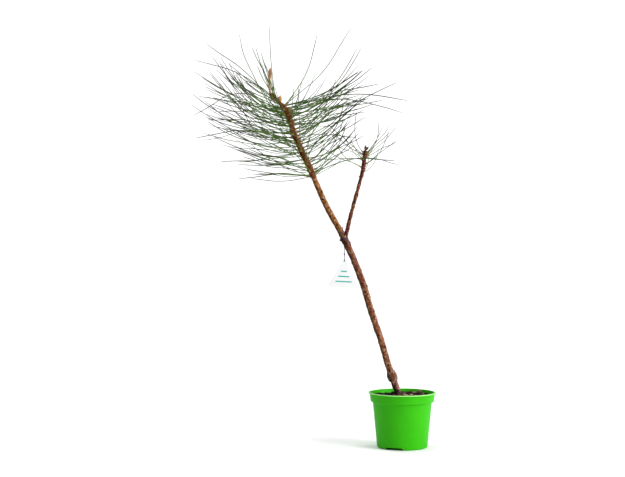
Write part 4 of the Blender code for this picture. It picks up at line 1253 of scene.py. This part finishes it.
def egg(foot, lean, length, radius):
    # a pointed bud that leans to the right by so many degrees
    shares = (0.0, 0.12, 0.3, 0.5, 0.7, 0.86, 0.96, 1.0)
    direction = Vector((math.sin(math.radians(lean)), 0, math.cos(math.radians(lean))))
    points = [tuple(foot + direction * length * s) for s in shares]
    widths = [radius * math.sin(math.pi * min(0.98, 0.12 + 0.88 * s)) ** 0.8 + 0.05 * mm for s in shares]
    return scalyBody(points, widths)


def buildBuds():
    dry, stalk, brown, dark = finishAll(buds["finishes"])
    path = limbs["trunkPath"]
    heights = [limbs["trunkTip"] / mm - 1, 628, 636, 644, 650, 655, 660, 665, 668.4, limbs["candleTip"] / mm]
    axis = [tuple(centreAt(path, h * mm)) for h in heights]
    widths = [candleRadius(h * mm) * (1 if h < 669 else 0.3) for h in heights]
    verts, faces = scalyBody(axis, widths)
    candle, second, cluster = MeshBin(), MeshBin(), MeshBin()
    candle.add(verts, faces, [1 if verts[face[0]][2] < buds["stalkTop"] else 0 for face in faces])
    makeObject("dry_candle", candle.mesh("dry_candle", [dry, stalk]), ["terminal_bud"])

    foot = centreAt(path, limbs["budFoot"]) + limbs["budOffset"]
    second.add(*egg(foot, buds["secondLean"], limbs["budLength"], 1.15 * limbs["budRadius"]))
    makeObject("second_bud_scales", second.mesh("second_bud", [brown]), ["second_bud"])

    tip = centreAt(limbs["branchPath"], limbs["branchTip"])
    cluster.add(*egg(tip + Vector((0, 0, -0.4)) * mm, 0, 10.0 * mm, 2.3 * mm))
    cluster.add(*egg(tip + Vector((1.0, -0.3, 0.8)) * mm, buds["sideLean"], 7.6 * mm, 1.9 * mm))
    makeObject("branch_tip_buds", cluster.mesh("branch_tip_buds", [dark]), ["branch_bud"])
    print("buds made")


# Tag: the card stays as the solid has it; three plain bars are printed on it

tag = {
    "apex": Vector((-101.9, -3.2, 334.0)) * mm, "thick": 0.8 * mm, "holeDrop": 5.0 * mm,
    "roll": -2.5, "turn": -8.0,
    "bars": ((-24.0, 11.0, 2.2), (-33.0, 20.0, 2.2), (-42.0, 29.0, 2.2)),  # height, length and width in mm
    "finishes": {
        "whiteCard": (((0.84, 0.85, 0.85), (0.76, 0.77, 0.77), (0.9, 0.9, 0.9), 90.0, 0.4),
                      (2200.0, 0.00008, 0.3, 0.45, 0.6)),
        "tealPrint": (((0.02, 0.42, 0.36), (0.015, 0.34, 0.3), (0.05, 0.5, 0.44), 700.0, 0.5),
                      (2200.0, 0.00005, 0.2, 0.4, 0.55)),
    },
}


def tagMatrix():
    turn = Matrix.Rotation(math.radians(tag["turn"]), 4, "Z")
    upright = Matrix.Rotation(math.radians(90), 4, "X")
    roll = Matrix.Rotation(math.radians(tag["roll"]), 4, "Z")
    return Matrix.Translation(tag["apex"]) @ turn @ upright @ roll


def roundedBar(halfLength, halfWidth):
    # half circles at both ends
    outline = []
    for step in range(16):
        turn = math.pi * (step + 0.5) / 8 - math.pi / 2
        shift = halfLength - halfWidth if step < 8 else halfWidth - halfLength
        outline.append((shift + halfWidth * math.cos(turn), halfWidth * math.sin(turn)))
    return outline


def buildTag():
    card, ink = finishAll(tag["finishes"])
    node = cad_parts["tag"]
    node.data.materials.clear()
    node.data.materials.append(card)
    place = tagMatrix()
    front = tag["thick"] / 2
    bars = MeshBin()
    for height, length, width in tag["bars"]:
        outline = roundedBar(length / 2, width / 2)
        count = len(outline)
        ends = []
        for lift in (-0.05, 0.1):
            ends += [place @ Vector((x * mm, (height + y) * mm, front + lift * mm)) for x, y in outline]
        sides = [(i, (i + 1) % count, count + (i + 1) % count, count + i) for i in range(count)]
        bars.add(ends, sides + [tuple(range(count - 1, -1, -1)), tuple(range(count, 2 * count))])
    made = bars.mesh("tag_bars", [ink])
    made.shade_flat()
    makeObject("tag_bars", made)
    print("tag made")


# Thread: two plies twisted along the source's route

thread = {
    "radius": 0.5 * mm, "ply": 0.46 * mm, "pitch": 2.6 * mm, "rows": 420,
    # knots along it: height, radius in mm, how much taller than wide, slot
    "knots": ((381.5, 1.2, 1.1, 0), (340.5, 1.35, 1.8, 0), (None, 1.25, 1.3, 1)),
    "finishes": {
        "greyThread": (((0.075, 0.055, 0.08), (0.03, 0.026, 0.04), (0.2, 0.15, 0.19), 600.0, 0.7),
                       (2600.0, 0.0002, 0.6, 0.6, 0.9), 0.15),
        "greenKnot": (((0.1, 0.26, 0.16), (0.04, 0.12, 0.08), (0.2, 0.4, 0.28), 600.0, 0.7),
                      (2600.0, 0.0002, 0.6, 0.6, 0.9), 0.15),
    },
}


def threadRoute():
    clear = limbs["gap"] + thread["radius"] + 0.35 * mm
    rows = [Vector((-104.6, -5.8, 388.0)) * mm, Vector((-105.4, -7.4, 381.0)) * mm]
    turns = np.linspace(-100, 188, 15)
    heights = np.interp(turns, (-100, -35, 188), (372, 362.5, 353)) * mm
    for turn, height in zip(turns, heights):
        reach = trunkRadius(height) + clear + 0.6 * mm * (turn < -60)
        rows.append(centreAt(limbs["trunkPath"], height) + levelDirection(turn) * reach * 1.05)
    hole = tagMatrix() @ Vector((0.0, -tag["holeDrop"], 0.0))
    normal = (tagMatrix().to_3x3() @ Vector((0, 0, 1))).normalized()
    rows.append(Vector((hole.x, hole.y, 348 * mm)) + normal * 1.0 * mm)
    rows.append(hole + normal * 1.5 * mm + Vector((0, 0, 4 * mm)))
    rows.append(hole + normal * 1.2 * mm + Vector((0, 0, 0.8 * mm)))
    rows.append(hole)
    rows.append(hole - normal * 1.6 * mm)
    return rows


def buildThread():
    finishes = finishAll(thread["finishes"])
    line = np.array([tuple(p) for p in curvedLine(threadRoute(), thread["rows"])])
    side, up = sweepFrames(line)
    lengths = np.concatenate([[0], np.cumsum(np.linalg.norm(np.diff(line, axis=0), axis=1))])
    turns = 2 * math.pi * lengths / thread["pitch"]
    plies = MeshBin()
    for start in (0.0, math.pi):
        off = side * np.cos(turns + start)[:, None] + up * np.sin(turns + start)[:, None]
        verts, faces = sweepTube(line + off * 0.26 * mm, [thread["ply"]] * len(line), 7)
        plies.add(verts, faces)
    work = bmesh.new()
    bmesh.ops.create_icosphere(work, subdivisions=3, radius=mm)
    for height, share, tall, slot in thread["knots"]:
        middle = line[-1] if height is None else min(line, key=lambda point: abs(point[2] - height * mm))
        knot = []
        for vert in work.verts:
            wrap = 1 + 0.12 * math.sin(9 * vert.co.normalized().z + 4 * math.atan2(vert.co.y, vert.co.x))
            knot.append(Vector(middle) + Vector((vert.co.x, vert.co.y, vert.co.z * tall)) * wrap * share)
        plies.add(knot, [tuple(v.index for v in f.verts) for f in work.faces], slot)
    work.free()
    makeObject("tag_thread_plies", plies.mesh("tag_thread_plies", finishes), ["tag_thread"])
    print("thread made")


# Studio: pale floor that sweeps up behind, soft lights and the camera

studio = {
    "cameraX": -158.4 * mm, "cameraZ": 368.0 * mm, "distance": 2.35, "focal": 1331.0, "photoWidth": 625.0,
    "sensor": 36.0, "airStrength": 0.2,
    "lights": (  # name, place, target, size, power
        ("keyLight", (2.0, -1.25, 1.2), (-0.1, 0.0, 0.3), 1.9, 88.0),
        ("fillLight", (-1.9, -1.5, 1.0), (-0.1, 0.0, 0.3), 1.8, 2.0),
        ("topLight", (-0.3, -0.1, 2.5), (-0.3, 0.0, 0.0), 2.2, 40.0),
        ("backdropLeft", (-1.3, 1.0, 2.2), (-0.9, 2.9, 0.7), 1.4, 30.0),
        ("backdropRight", (1.3, 1.0, 2.2), (0.9, 2.9, 0.7), 1.4, 29.0),
    ),
    "finishes": {
        "paleFloor": (((0.86, 0.86, 0.86), (0.84, 0.84, 0.84), (0.88, 0.88, 0.88), 3.0, 0.3),
                      (40.0, 0.0002, 0.05, 0.8, 0.9)),
    },
    "halfWidth": 5.0, "floorFront": -4.0, "coveStart": 2.0, "coveRadius": 1.0,
    "coveSteps": 12, "wallTop": 4.0,
}


def buildStudio():
    profile = [(studio["floorFront"], 0.0)]
    for step in range(studio["coveSteps"] + 1):
        turn = math.radians(90 * step / studio["coveSteps"])
        profile.append((studio["coveStart"] + studio["coveRadius"] * math.sin(turn),
                        studio["coveRadius"] * (1 - math.cos(turn))))
    profile.append((studio["coveStart"] + studio["coveRadius"], studio["wallTop"]))
    points = [(x, y, z) for y, z in profile for x in (-studio["halfWidth"], studio["halfWidth"])]
    faces = [(2 * i, 2 * i + 1, 2 * i + 3, 2 * i + 2) for i in range(len(profile) - 1)]
    backdrop = MeshBin()
    backdrop.add(points, faces)
    floor = linked("floor", backdrop.mesh("floor", finishAll(studio["finishes"])))

    world = bpy.data.worlds.new("studioAir")
    bpy.context.scene.world = world
    world.use_nodes = True
    air = world.node_tree.nodes["Background"]
    air.inputs["Color"].default_value = (1.0, 1.0, 1.0, 1.0)
    air.inputs["Strength"].default_value = studio["airStrength"]
    for name, place, target, size, power in studio["lights"]:
        data = bpy.data.lights.new(name, "AREA")
        data.shape = "DISK"
        data.size = size
        data.energy = power
        lamp = linked(name, data)
        lamp.location = place
        lamp.rotation_euler = (Vector(target) - Vector(place)).to_track_quat("-Z", "Y").to_euler()

    data = bpy.data.cameras.new("photoCamera")
    data.sensor_width = studio["sensor"]
    data.lens = studio["focal"] / studio["photoWidth"] * studio["sensor"]
    camera = linked("photoCamera", data)
    camera.location = (studio["cameraX"], -studio["distance"], studio["cameraZ"])
    camera.rotation_euler = (math.radians(90), 0, 0)
    bpy.context.scene.camera = camera
    bpy.context.scene.view_settings.view_transform = "Standard"
    print("studio made")


buildStudio()
buildPot()
buildSoil()
buildLimbs()
buildNeedles()
buildBuds()
buildTag()
buildThread()
